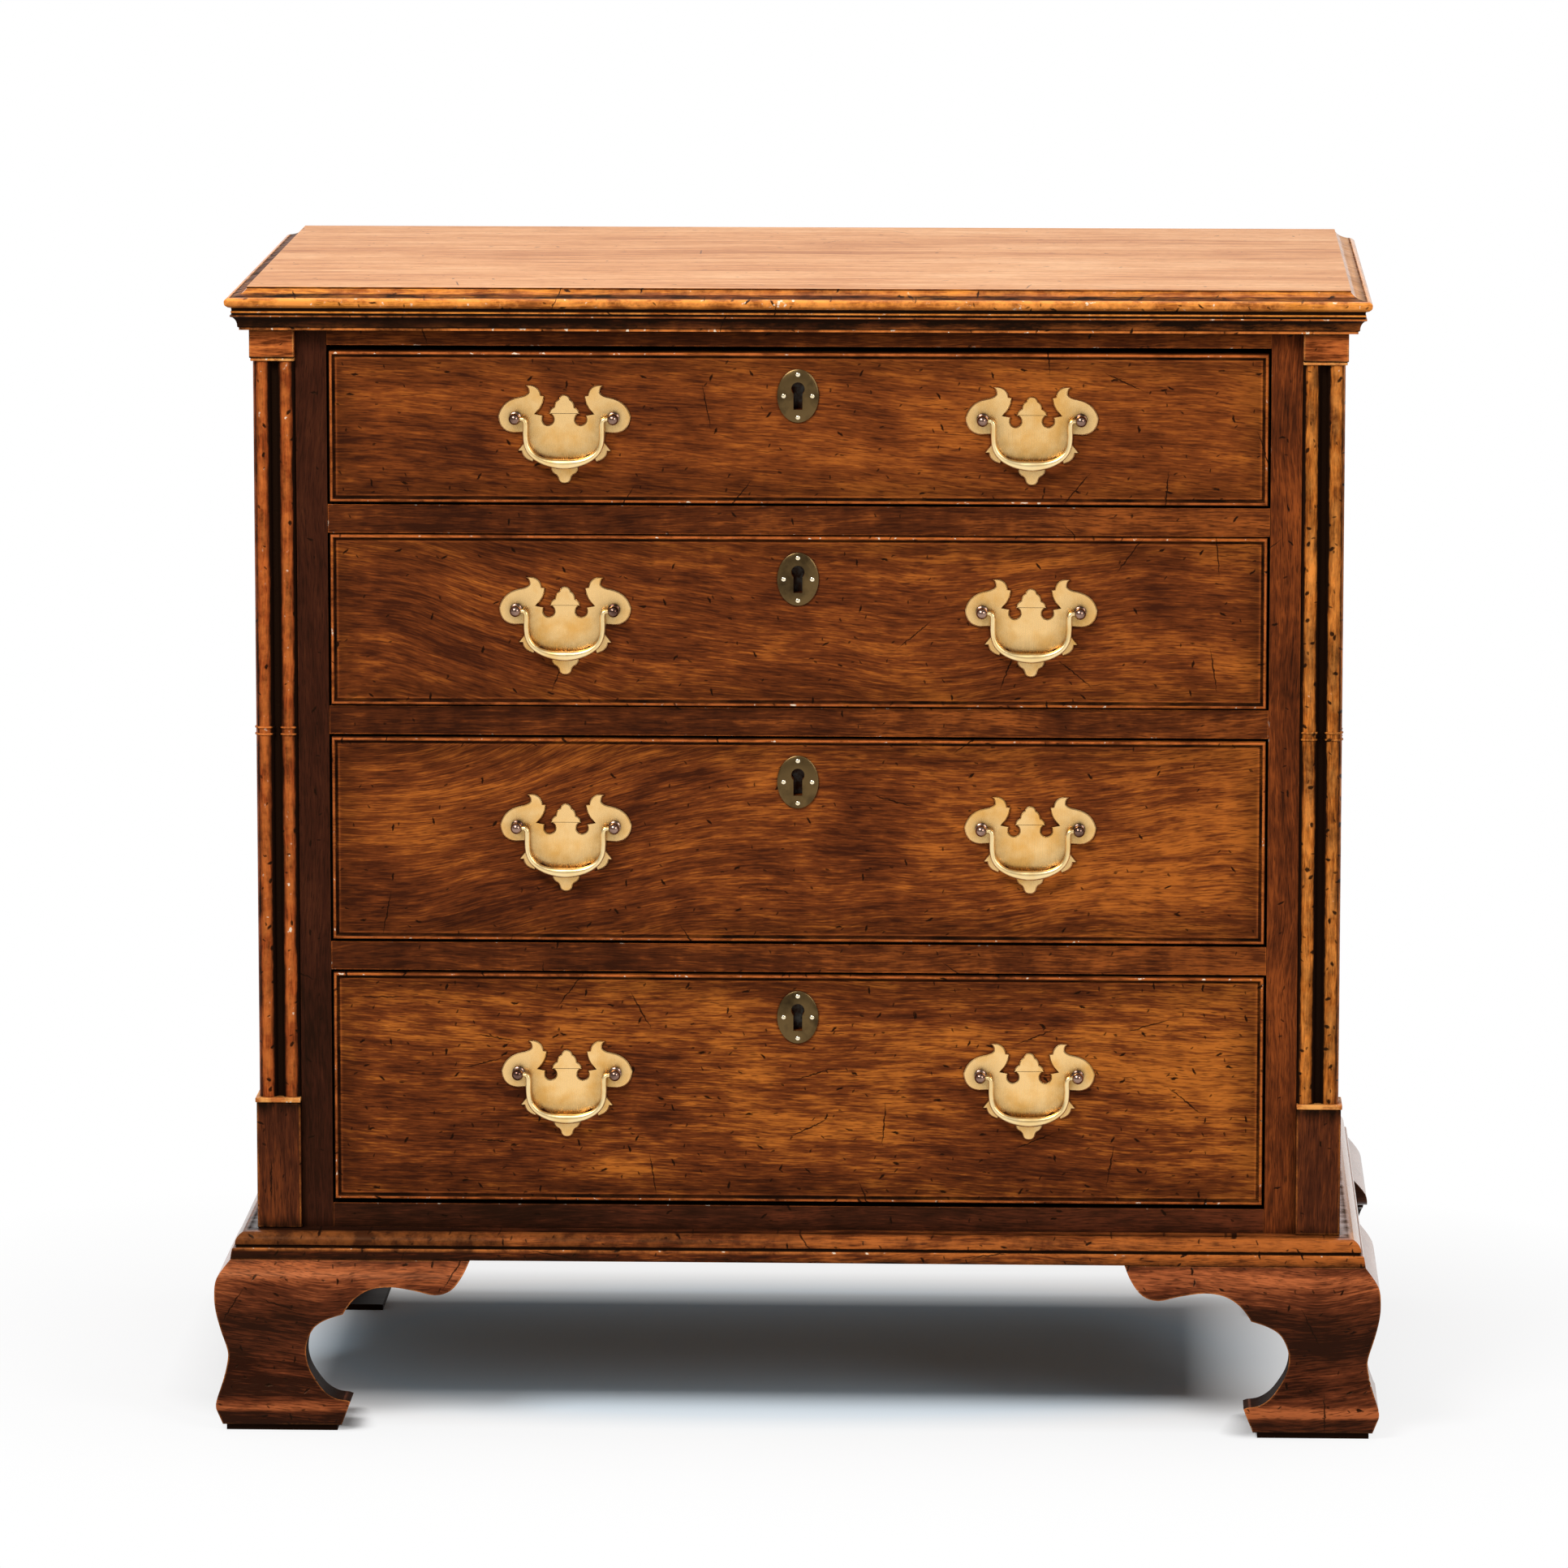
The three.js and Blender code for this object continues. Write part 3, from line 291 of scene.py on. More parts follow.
@dataclass
class WoodNodes:
    """Nodes of one mahogany finish, laid in the chest's own frame."""

    wood: Mahogany
    tree: bpy.types.NodeTree

    def __post_init__(self) -> None:
        """Finds the place, and its coordinates along, across and through the board."""
        self.place = put(self.tree, "TexCoord", output="Object")
        self.parts = [put(self.tree, "SeparateXYZ", {0: self.place}, output=i) for i in self.wood.grain.value]

    def build(self) -> None:
        """Lays figure, pores, wear and painted highlight, dents, dark wax and painted shade, painted glints
        and painted light over each other, then gloss and relief.
        """
        wood, tree = self.wood, self.tree
        spot = self.drift()
        figure = self.figure(spot)
        tones = [(0.2, linear(wood.dark)), (0.5, linear(wood.mid)), (0.82, linear(wood.light))]
        colour = put(tree, "ValToRGB", {0: figure}, stops=tones)
        pores = self.pores(spot)
        colour = put(tree, "Mix", {0: pores, 6: colour, 7: linear(wood.dark)}, 2, data_type="RGBA")
        if wood.inner:
            colour = self.inner_board(figure, colour)
        worn, marks, dirt_and_shade = self.worn_share(), self.marks(), self.dirt_and_shade_share()
        glints = self.glint_share(put(tree, "Math", {0: worn, 1: dirt_and_shade}, operation="SUBTRACT"))
        for share, code in ((worn, wood.worn), (marks, wood.grime_and_shade), (dirt_and_shade, wood.grime_and_shade), (glints, wood.glint)):
            colour = put(tree, "Mix", {0: share, 6: colour, 7: linear(code)}, 2, data_type="RGBA")
        # painted light on the returns that face the chest's right
        if wood.bleached:
            colour = self.bleach(figure, colour)
        self.surface(colour, figure, pores, marks, dirt_and_shade)

    def drift(self) -> Socket:
        """Bends the stripes: a slow wave everywhere, and the board's own pushes.

        Returns:
            Place in the bent board: along, across and through it.
        """
        wood, tree = self.wood, self.tree
        along, across, through = self.parts
        flat = put(tree, "CombineXYZ", {0: along, 1: across, 2: wood.seed})
        wave = put(tree, "TexNoise", {"Vector": flat, "Scale": 5.0, "Detail": 2.0, "Roughness": 0.45})
        wave = put(tree, "Math", {0: wave, 1: 0.5}, operation="SUBTRACT")
        bent = put(tree, "Math", {0: wave, 1: 6 * wood.wave_mm * MM, 2: across}, operation="MULTIPLY_ADD")
        bent = put(tree, "Math", {0: along, 1: wood.lean, 2: bent}, operation="MULTIPLY_ADD")
        face = put(tree, "CombineXYZ", {0: along, 1: across})
        for push in wood.pushes:
            middle = (push.x * MM, push.z * MM, 0.0)
            reach = (push.half_width * MM, push.half_height * MM, 1.0)
            near = put(tree, "VectorMath", {0: face, 1: middle}, operation="SUBTRACT")
            near = put(tree, "VectorMath", {0: near, 1: reach}, operation="DIVIDE")
            near = put(tree, "VectorMath", {0: near, 1: near}, "Value", operation="DOT_PRODUCT")
            near = put(tree, "Math", {0: 1 / math.e, 1: near}, operation="POWER")
            bent = put(tree, "Math", {0: near, 1: push.push * MM, 2: bent}, operation="MULTIPLY_ADD")
        return put(tree, "CombineXYZ", {0: along, 1: bent, 2: through})

    def figure(self, spot: Socket) -> Socket:
        """Clouds, stripes of growth, finer streaks and the cross figure that shimmers over them, lighter
        towards the chest's right, with painted light where the wood faces up and by height.

        Args:
            spot: Place in the bent board.

        Returns:
            Brightness of the figure from 0 to 1.
        """
        wood, tree = self.wood, self.tree
        # width in millimetres, share of it along the fibres, weight and detail
        layers = [
            (7.0 * wood.band_mm, 0.6, 0.27, 4.0),
            (wood.band_mm, 0.13, 0.19, 4.0),
            (0.36 * wood.band_mm, 0.11, 0.15, 3.0),
            (wood.streak_mm, 0.08, 0.24, 3.0),
            (2.4 * wood.band_mm, 1.5, wood.curl, 3.0),
        ]
        rightward = put(tree, "SeparateXYZ", {0: self.place}, output=0)
        total = put(tree, "Math", {0: rightward, 1: wood.fade}, operation="MULTIPLY")
        # painted light: lighter where the wood faces up
        if wood.upward_light:
            rise = put(tree, "SeparateXYZ", {0: put(tree, "NewGeometry", output="Normal")}, output=2)
            rise = put(tree, "Math", {0: rise, 1: 0.1}, operation="SUBTRACT")
            total = put(tree, "Math", {0: rise, 1: wood.upward_light, 2: total}, operation="MULTIPLY_ADD")
        # painted light and shade by height on a foot
        if wood.light_by_height:
            total = put(tree, "Math", {0: self.light_by_height_share(), 1: 0.3, 2: total}, operation="MULTIPLY_ADD")
        for width, stretch, weight, detail in layers:
            scale = 1 / (width * MM)
            along = scale * stretch / wood.longer
            near = put(tree, "VectorMath", {0: spot, 1: (along, scale, scale)}, operation="MULTIPLY")
            near = put(tree, "VectorMath", {0: near, 1: (wood.seed, 7 * wood.seed, 3 * wood.seed)})
            noise = put(tree, "TexNoise", {"Vector": near, "Scale": 1.0, "Detail": detail, "Roughness": 0.6})
            noise = put(tree, "Math", {0: noise, 1: 0.5}, operation="SUBTRACT")
            total = put(tree, "Math", {0: noise, 1: weight, 2: total}, operation="MULTIPLY_ADD")
        spread = {0: total, 1: 3.6 * wood.contrast, 2: 0.5}
        return put(tree, "Math", spread, operation="MULTIPLY_ADD", use_clamp=True)

    def light_by_height_share(self) -> Socket:
        """How much lighter or darker a foot is painted at each height, for light, shade and wear.

        Returns:
            The change, from -0.5 to 0.5.
        """
        tree, steps = self.tree, self.wood.light_by_height
        reach = steps[-1][0]
        level = put(tree, "SeparateXYZ", {0: self.place}, output=2)
        level = put(tree, "Math", {0: level, 1: 1 / (reach * MM)}, operation="MULTIPLY", use_clamp=True)
        share = put(tree, "ValToRGB", {0: level}, stops=[(z / reach, share) for z, share in steps])
        return put(tree, "Math", {0: share, 1: 0.5}, operation="SUBTRACT")

    def pores(self, spot: Socket) -> Socket:
        """Short dark pores along the fibres.

        Args:
            spot: Place in the bent board.

        Returns:
            Share of pore at each point.
        """
        scale = 1 / (self.wood.pore_mm * MM)
        near = put(self.tree, "VectorMath", {0: spot, 1: (scale * 0.1, scale, scale)}, operation="MULTIPLY")
        noise = put(self.tree, "TexNoise", {"Vector": near, "Scale": 1.0, "Detail": 1.0, "Roughness": 0.6})
        return put(self.tree, "MapRange", {0: noise, 1: 0.56, 2: 0.7, 3: 0.0, 4: 0.7})

    def marks(self) -> Value:
        """Dark knocks, nicks and scratches that have filled with wax.

        Returns:
            Share of dark mark at each point.
        """
        wood, tree = self.wood, self.tree
        face = put(tree, "CombineXYZ", {0: self.parts[0], 1: self.parts[1]})
        face = put(tree, "VectorMath", {0: face, 1: (0.1 * wood.seed, 0.3 * wood.seed, 0.0)})
        rough = put(tree, "TexNoise", {"Vector": face, "Scale": 260.0, "Detail": 2.0}, "Color")
        rough = put(tree, "VectorMath", {0: rough, 1: (0.5, 0.5, 0.5)}, operation="SUBTRACT")
        ragged = (2.6 * MM, 2.6 * MM, 0.0)
        face = put(tree, "VectorMath", {0: rough, 1: ragged, 2: face}, operation="MULTIPLY_ADD")
        total: Value = 0.0
        for dash in wood.dashes:
            total = put(tree, "Math", {0: self.dash_share(face, dash), 1: total}, operation="MAXIMUM")
        return total

    def dash_share(self, face: Socket, dash: Dash) -> Socket:
        """One kind of dent.

        Args:
            face: Place on the face of the board.
            dash: Size and number of the dents.

        Returns:
            Share of dent at each point.
        """
        tree = self.tree
        net = {"Vector": face, "Scale": 1 / (dash.cell * MM)}
        middle = put(tree, "TexVoronoi", net, "Position", voronoi_dimensions="2D")
        chance = put(tree, "TexVoronoi", net, "Color", voronoi_dimensions="2D")
        angle = put(tree, "SeparateColor", {0: chance})
        angle = put(tree, "Math", {0: angle, 1: math.pi}, operation="MULTIPLY")
        off = put(tree, "VectorMath", {0: face, 1: middle}, operation="SUBTRACT")
        off = put(tree, "VectorRotate", {"Vector": off, "Angle": angle}, rotation_type="Z_AXIS")
        size = (2 / (dash.length * MM), 2 / (dash.width * MM), 0.0)
        off = put(tree, "VectorMath", {0: off, 1: size}, operation="MULTIPLY")
        off = put(tree, "VectorMath", {0: off}, "Value", operation="LENGTH")
        mark = put(tree, "MapRange", {0: off, 1: 0.55, 2: 1.0, 3: dash.depth, 4: 0.0})
        lot = put(tree, "SeparateColor", {0: chance}, 1)
        here = put(tree, "Math", {0: lot, 1: dash.share * 2 * self.wood.dents}, operation="LESS_THAN")
        return put(tree, "Math", {0: mark, 1: here}, operation="MULTIPLY")

    def worn_share(self) -> Socket:
        """Where the dark surface is rubbed through, which also paints highlights: arrises, beads, and what
        the mesh marks as rubbed and lit.

        Returns:
            Share of rubbed wood and painted highlight at each point.
        """
        wood, tree = self.wood, self.tree
        rounded = put(tree, "Bevel", {0: wood.arris_mm * MM}, samples=4)
        true = put(tree, "NewGeometry", output="Normal")
        turn = put(tree, "VectorMath", {0: rounded, 1: true}, "Value", operation="DOT_PRODUCT")
        edge = put(tree, "MapRange", {0: turn, 1: 0.97, 2: 0.8, 3: 0.0, 4: wood.arris})
        # marks from the mesh: wear, and painted highlight on rolls, beads and slabs
        known = put(tree, "Attribute", output="Fac", attribute_name="worn")
        both = put(tree, "Math", {0: edge, 1: known}, operation="MAXIMUM")
        if wood.box_mm:
            both = put(tree, "Math", {0: both, 1: self.by_inset(BEAD_EDGE)}, operation="MULTIPLY")
            both = put(tree, "Math", {0: both, 1: self.by_inset(BEAD_WEAR)}, operation="MAXIMUM")
        rub = put(tree, "TexNoise", {"Vector": self.place, "Scale": 55.0, "Detail": 4.0, "Roughness": 0.7})
        rub = put(tree, "MapRange", {0: rub, 1: 0.4, 2: 0.6, 3: 0.15, 4: 1.0})
        return put(tree, "Math", {0: both, 1: rub}, operation="MULTIPLY", use_clamp=True)

    def dirt_and_shade_share(self) -> Socket:
        """Wax and dust with painted shade in the corners and gaps, what the mesh marks dark, and a shade
        round the board's edge.

        Returns:
            Share of dark wax and painted shade at each point.
        """
        wood, tree = self.wood, self.tree
        # painted shade: darker where ambient occlusion finds corners, gaps and quirks
        open_share = put(tree, "AmbientOcclusion", {"Distance": 9 * MM}, "AO", samples=6, only_local=False)
        corner = put(tree, "MapRange", {0: open_share, 1: 0.86, 2: 0.3, 3: 0.0, 4: 0.9})
        if wood.box_mm:
            band = [(far, share * wood.edge_shade) for far, share in BEAD_BAND]
            shade = self.by_inset([*BEAD_SHADE, *band])
            corner = put(tree, "Math", {0: corner, 1: shade}, operation="MAXIMUM")
        cloud = put(tree, "TexNoise", {"Vector": self.place, "Scale": 30.0, "Detail": 4.0, "Roughness": 0.6})
        cloud = put(tree, "MapRange", {0: cloud, 1: 0.3, 2: 0.6, 3: 0.55, 4: 1.0})
        corner = put(tree, "Math", {0: corner, 1: cloud}, operation="MULTIPLY", use_clamp=True)
        # marks from the mesh: dark wax, and painted shade in hollows and undercuts
        known = put(tree, "Attribute", output="Fac", attribute_name="grime_and_shade")
        near = put(tree, "CombineXYZ", dict(enumerate(self.parts)))
        near = put(tree, "VectorMath", {0: near, 1: (34.0, 110.0, 110.0)}, operation="MULTIPLY")
        rub = put(tree, "TexNoise", {"Vector": near, "Scale": 1.0, "Detail": 5.0, "Roughness": 0.7})
        rub = put(tree, "Math", {0: rub, 1: 0.5}, operation="SUBTRACT")
        known = put(tree, "Math", {0: rub, 1: wood.ragged, 2: known}, operation="MULTIPLY_ADD")
        known = put(tree, "MapRange", {0: known, 1: 0.22, 2: 0.8})
        # painted shade on inward faces and near the floor
        if wood.inward_shade:
            known = put(tree, "Math", {0: known, 1: self.inward_shade_share()}, operation="MAXIMUM")
        return put(tree, "Math", {0: corner, 1: known}, operation="MAXIMUM", use_clamp=True)

    def by_inset(self, steps: Sequence[Pair]) -> Socket:
        """A share that changes with the distance in from the nearest edge of a drawer front.

        Args:
            steps: Distances in millimetres and the share at each.

        Returns:
            The share.
        """
        tree = self.tree
        x0, x1, z0, z1 = [v * MM for v in self.wood.box_mm or (0.0, 0.0, 0.0, 0.0)]
        middle, half = ((x0 + x1) / 2, 0.0, (z0 + z1) / 2), ((x1 - x0) / 2, 1.0, (z1 - z0) / 2)
        off = put(tree, "VectorMath", {0: self.place, 1: middle}, operation="SUBTRACT")
        off = put(tree, "VectorMath", {0: off}, operation="ABSOLUTE")
        off = put(tree, "VectorMath", {0: half, 1: off}, operation="SUBTRACT")
        from_side, from_end = [put(tree, "SeparateXYZ", {0: off}, output=i) for i in (0, 2)]
        inset = put(tree, "Math", {0: from_side, 1: from_end}, operation="MINIMUM")
        reach = 2 * steps[-1][0]
        inset = put(tree, "Math", {0: inset, 1: 1 / (reach * MM)}, operation="MULTIPLY")
        return put(tree, "ValToRGB", {0: inset}, stops=[(far / reach, share) for far, share in steps])

    def glint_share(self, bare: Socket) -> Socket:
        """Pale flecks on bare edges, painted as glints.

        Args:
            bare: Share of bare wood.

        Returns:
            Share of painted glint at each point.
        """
        grit = {"Vector": self.place, "Scale": 210.0, "Detail": 2.0, "Roughness": 0.5}
        chance = put(self.tree, "TexNoise", grit)
        chance = put(self.tree, "MapRange", {0: chance, 1: 0.66, 2: 0.71, 3: 0.0, 4: 2 * self.wood.glints})
        bare = put(self.tree, "MapRange", {0: bare, 1: 0.3, 2: 0.55})
        return put(self.tree, "Math", {0: chance, 1: bare}, operation="MULTIPLY", use_clamp=True)

    def bleach(self, figure: Socket, colour: Socket) -> Socket:
        """Paints light on the returns that face the chest's right.

        Args:
            figure: Figure of the wood from 0 to 1.
            colour: Colour so far.

        Returns:
            Colour with the painted light on those returns.
        """
        wood, tree = self.wood, self.tree
        x, y = [put(tree, "SeparateXYZ", {0: self.place}, output=i) for i in (0, 1)]
        past = put(tree, "Math", {0: x, 1: y}, operation="ADD")
        past = put(tree, "Math", {0: past, 1: MITRE}, operation="GREATER_THAN")
        right = put(tree, "SeparateXYZ", {0: put(tree, "NewGeometry", output="Normal")}, output=0)
        right = put(tree, "MapRange", {0: right, 1: 0.0, 2: 0.2, 3: 0.0, 4: 0.7})
        share = put(tree, "Math", {0: past, 1: right}, operation="MULTIPLY")
        code = linear(wood.bleached or wood.worn)
        browner = (0.5 * code[0], 0.4 * code[1], 0.32 * code[2], 1.0)
        pale = put(tree, "ValToRGB", {0: figure}, stops=[(0.0, browner), (0.75, code)])
        return put(tree, "Mix", {0: share, 6: colour, 7: pale}, 2, data_type="RGBA")

    def inward_shade_share(self) -> Socket:
        """Painted shade on what faces the middle of the chest, and close to the floor.

        Returns:
            Share of painted shade at each point.
        """
        wood, tree = self.wood, self.tree
        turned = put(tree, "NewGeometry", output="True Normal")
        out = put(tree, "VectorMath", {0: turned, 1: self.place}, operation="MULTIPLY")
        x, y = [put(tree, "SeparateXYZ", {0: out}, output=i) for i in (0, 1)]
        z = put(tree, "SeparateXYZ", {0: self.place}, output=2)
        y = put(tree, "Math", {0: y, 1: 0.5}, operation="MULTIPLY")
        side = put(tree, "Math", {0: x, 1: y}, operation="MINIMUM")
        side = put(tree, "MapRange", {0: side, 1: -0.02, 2: -0.04, 3: 0.0, 4: wood.inward_shade})
        low = {0: z, 1: wood.shaded_below_mm * MM, 2: (wood.shaded_below_mm + 1.2) * MM, 3: 1.0, 4: 0.0}
        return put(tree, "Math", {0: side, 1: put(tree, "MapRange", low)}, operation="MAXIMUM")

    def inner_board(self, figure: Socket, colour: Socket) -> Socket:
        """Plain wood behind the show wood of a rail.

        Args:
            figure: Figure of the wood from 0 to 1.
            colour: Colour of the show wood.

        Returns:
            Colour of the whole piece.
        """
        wood, tree = self.wood, self.tree
        code = linear(wood.inner or wood.mid)
        dull = tuple(0.55 * part for part in code[:3]) + (1.0,)
        plain = put(tree, "ValToRGB", {0: figure}, stops=[(0.1, dull), (0.8, code)])
        depth = put(tree, "SeparateXYZ", {0: self.place}, output=1)
        behind = put(tree, "Math", {0: depth, 1: wood.inner_from_mm * MM}, operation="GREATER_THAN")
        return put(tree, "Mix", {0: behind, 6: colour, 7: plain}, 2, data_type="RGBA")

    def surface(self, colour: Socket, figure: Socket, pores: Socket, marks: Value, dull: Socket) -> None:
        """Puts colour, gloss and relief on the shader.

        Args:
            colour: Colour at each point.
            figure: Figure of the wood.
            pores: Share of pore.
            marks: Share of dark mark.
            dull: Share of dirt and painted shade that lets no gloss show.
        """
        wood, tree = self.wood, self.tree
        rough = put(tree, "MapRange", {0: figure, 3: wood.roughness + 0.07, 4: wood.roughness - 0.05})
        rough = put(tree, "Math", {0: dull, 1: 0.4, 2: rough}, operation="MULTIPLY_ADD", use_clamp=True)
        relief = put(tree, "Math", {0: pores, 1: 0.35}, operation="MULTIPLY")
        relief = put(tree, "Math", {0: marks, 1: 1.2, 2: relief}, operation="MULTIPLY_ADD")
        relief = put(tree, "Math", {0: relief, 1: -1.0}, operation="MULTIPLY")
        normal = put(tree, "Bump", {"Height": relief, "Strength": 0.4, "Distance": RELIEF_MM * MM})
        coat: Value = 0.0
        if wood.coat:
            aside = put(tree, "LayerWeight", {"Blend": 0.5}, "Facing")
            coat = put(tree, "MapRange", {0: aside, 1: 0.45, 2: 0.85, 3: 0.0, 4: wood.coat})
            clean = put(tree, "Math", {0: 1.0, 1: dull}, operation="SUBTRACT")
            coat = put(tree, "Math", {0: coat, 1: clean}, operation="MULTIPLY")
        inputs = {
            "Base Color": colour, "Roughness": rough, "IOR": 1.5, "Specular IOR Level": wood.specular,
            "Specular Tint": linear(wood.gleam), "Coat Weight": coat, "Coat Roughness": 0.22,
            "Normal": normal,
        }
        put(tree, "OutputMaterial", {0: put(tree, "BsdfPrincipled", inputs)})


@dataclass(frozen=True)
class Brass:
    """Cast brass, filed flat and rubbed bright, or left to darken.

    The eye gets a pale yellow mirror broken by faint hand polishing, with olive tarnish where a
    cloth doesn't reach, and the same olive as painted shade under the bail.
    """

    name: str
    bright: str
    deep: str
    tarnish_and_shade: str
    roughness: float = 0.24
    tarnish_and_shade_share: float = 0.5
    # real polishing scratches are 0.05 mm apart, drawn wider so that they show
    polish_mm: float = 0.8
    seed: float = 0.0

    def build(self) -> Material:
        """Makes the material.

        Returns:
            The finished node material.
        """
        material, tree = new_material(self.name)
        place = put(tree, "TexCoord", output="Object")
        moved = put(tree, "VectorMath", {0: place, 1: (self.seed, 0.0, self.seed)})
        cloud = put(tree, "TexNoise", {"Vector": moved, "Scale": 45.0, "Detail": 5.0, "Roughness": 0.55})
        tones = [(0.34, linear(self.deep)), (0.56, linear(self.bright))]
        colour = put(tree, "ValToRGB", {0: cloud}, stops=tones)
        # painted shade: olive darkening near anything close over the brass, such as the bail over its plate,
        # with the tarnish
        corner = put(tree, "AmbientOcclusion", {"Distance": 16 * MM}, "AO", samples=8)
        corner = put(tree, "MapRange", {0: corner, 1: 0.96, 2: 0.55, 3: 0.0, 4: self.tarnish_and_shade_share})
        patch = put(tree, "TexNoise", {"Vector": moved, "Scale": 240.0, "Detail": 3.0, "Roughness": 0.7})
        patch = put(tree, "MapRange", {0: patch, 1: 0.3, 2: 0.7, 3: 0.75, 4: 1.15})
        corner = put(tree, "Math", {0: corner, 1: patch}, operation="MULTIPLY", use_clamp=True)
        colour = put(tree, "Mix", {0: corner, 6: colour, 7: linear(self.tarnish_and_shade)}, 2, data_type="RGBA")
        fine = put(tree, "Mapping", {"Vector": place, "Scale": (1 / (self.polish_mm * MM), 90.0, 90.0)})
        fine = put(tree, "TexNoise", {"Vector": fine, "Scale": 1.0, "Detail": 2.0, "Roughness": 0.5})
        gloss = {0: fine, 1: 0.3, 2: 0.7, 3: self.roughness - 0.02, 4: self.roughness + 0.03}
        rough = put(tree, "MapRange", gloss)
        wave = put(tree, "TexNoise", {"Vector": moved, "Scale": 130.0, "Detail": 1.0})
        wave = put(tree, "Math", {0: fine, 1: 0.006, 2: wave}, operation="MULTIPLY_ADD")
        normal = put(tree, "Bump", {"Height": wave, "Strength": 0.16, "Distance": RELIEF_MM * MM})
        inputs = {"Base Color": colour, "Metallic": 1.0, "Roughness": rough, "Normal": normal}
        put(tree, "OutputMaterial", {0: put(tree, "BsdfPrincipled", inputs)})
        return material


@dataclass(frozen=True)
class Iron:
    """Wrought iron of locks and nails, black from the forge and dull.

    The eye gets a dark grey with soft hammered light and brown rust in patches.
    """

    name: str
    metal: str = "4b4742"
    rust: str = "4a2a18"

    def build(self) -> Material:
        """Makes the material.

        Returns:
            The finished node material.
        """
        material, tree = new_material(self.name)
        place = put(tree, "TexCoord", output="Object")
        patch = put(tree, "TexNoise", {"Vector": place, "Scale": 140.0, "Detail": 5.0, "Roughness": 0.65})
        tones = [(0.42, linear(self.metal)), (0.66, linear(self.rust))]
        colour = put(tree, "ValToRGB", {0: patch}, stops=tones)
        rough = put(tree, "MapRange", {0: patch, 1: 0.35, 2: 0.65, 3: 0.42, 4: 0.75})
        normal = put(tree, "Bump", {"Height": patch, "Strength": 0.4, "Distance": RELIEF_MM * MM})
        inputs = {"Base Color": colour, "Metallic": 0.9, "Roughness": rough, "Normal": normal}
        put(tree, "OutputMaterial", {0: put(tree, "BsdfPrincipled", inputs)})
        return material


INSIDE = "a67c50"
INSIDE_FROM_MM = -151.0
# painted light and shade by height, lighter than the wood's own tone over a half: the knee's top and the
# toe's ridge are lit and rubbed, the hollows between them shaded
FOOT_LIGHT_AND_WEAR = (
    (0, 0.3), (14, 0.34), (17, 0.85), (21, 0.66), (26, 0.22), (38, 0.2), (48, 0.3), (64, 0.34), (78, 0.3),
    (92, 0.38), (104, 0.52), (115, 0.62), (121, 0.5), (125, 0.3),
)

TOP_WOOD = Mahogany(
    "sun_bleached_waxed_mahogany", "a05c2a", "d59156", "f2bb84", grain=Grain.FLAT, band_mm=12, streak_mm=2.0,
    wave_mm=3, longer=2.4, contrast=0.8, dents=0.15, worn="f0b070", grime_and_shade="4a2410", specular=0.07, arris=0.3,
    glints=0.0, seed=2.0,
)
TOP_EDGE_WOOD = Mahogany(
    "rubbed_mahogany_top_edge", "5a260e", "9a4e1e", "d8842f", band_mm=6, contrast=1.3, dents=1.0,
    worn="ffa14a", grime_and_shade="140804", roughness=0.3, arris=0.3, coat=0.4, bleached="f6bc8a", seed=3.0,
)
MOULDING_WOOD = Mahogany(
    "dark_waxed_mahogany_moulding", "2c130a", "5c2a14", "ae5e28", band_mm=8, contrast=1.1, dents=1.0,
    worn="dc7e3a", roughness=0.3, coat=0.9, arris=0.5, glints=0.9, fade=0.26, bleached="d09460", seed=5.0,
)
RAIL_WOOD = Mahogany(
    "waxed_mahogany_rail", "32150a", "5a2a12", "9a5020", band_mm=10, curl=0.14, dents=0.4, arris=0.9,
    worn="c8682c", fade=0.12, inner=INSIDE, inner_from_mm=INSIDE_FROM_MM, seed=7.0,
)
BOTTOM_RAIL_WOOD = Mahogany(
    "darkened_mahogany_rail", "220f08", "3e1d10", "64301a", band_mm=10, curl=0.1, dents=0.4, arris=0.8,
    worn="a8592a", fade=0.1, inner=INSIDE, inner_from_mm=INSIDE_FROM_MM, seed=8.0,
)
STILE_WOODS = {
    Hand.LEFT: Mahogany(
        "darkened_mahogany_stile", "1c0c07", "38190f", "4c2616", grain=Grain.UPRIGHT, band_mm=9,
        contrast=0.8, arris=0.3, worn="7a4020", dents=0.3, seed=9.0,
    ),
    Hand.RIGHT: Mahogany(
        "waxed_mahogany_stile", "2e140a", "642e14", "94491e", grain=Grain.UPRIGHT, band_mm=9,
        contrast=1.0, arris=0.5, worn="a8592a", dents=0.4, seed=11.0,
    ),
}
COLUMN_WOODS = {
    Hand.LEFT: Mahogany(
        "turned_mahogany_column", "4a1c0c", "8e3c18", "c05e28", grain=Grain.UPRIGHT, band_mm=5, contrast=1.1,
        dents=1.0, dashes=(SPOTS, NICKS), worn="dc7c38", roughness=0.3, seed=13.0,
    ),
    Hand.RIGHT: Mahogany(
        "turned_mahogany_column_lighter", "5c260c", "bc6420", "ec8c38", grain=Grain.UPRIGHT, band_mm=5,
        contrast=1.5, dents=1.6, dashes=(SPOTS, NICKS), worn="f8a04c", roughness=0.3, seed=17.0,
    ),
}
BLOCK_WOOD = Mahogany(
    "waxed_mahogany_block", "2a120a", "4c2414", "7a3c1c", grain=Grain.UPRIGHT, band_mm=14, contrast=0.9,
    dents=0.7, arris=1.0, arris_mm=2.8, worn="ec8c3c", seed=19.0,
)
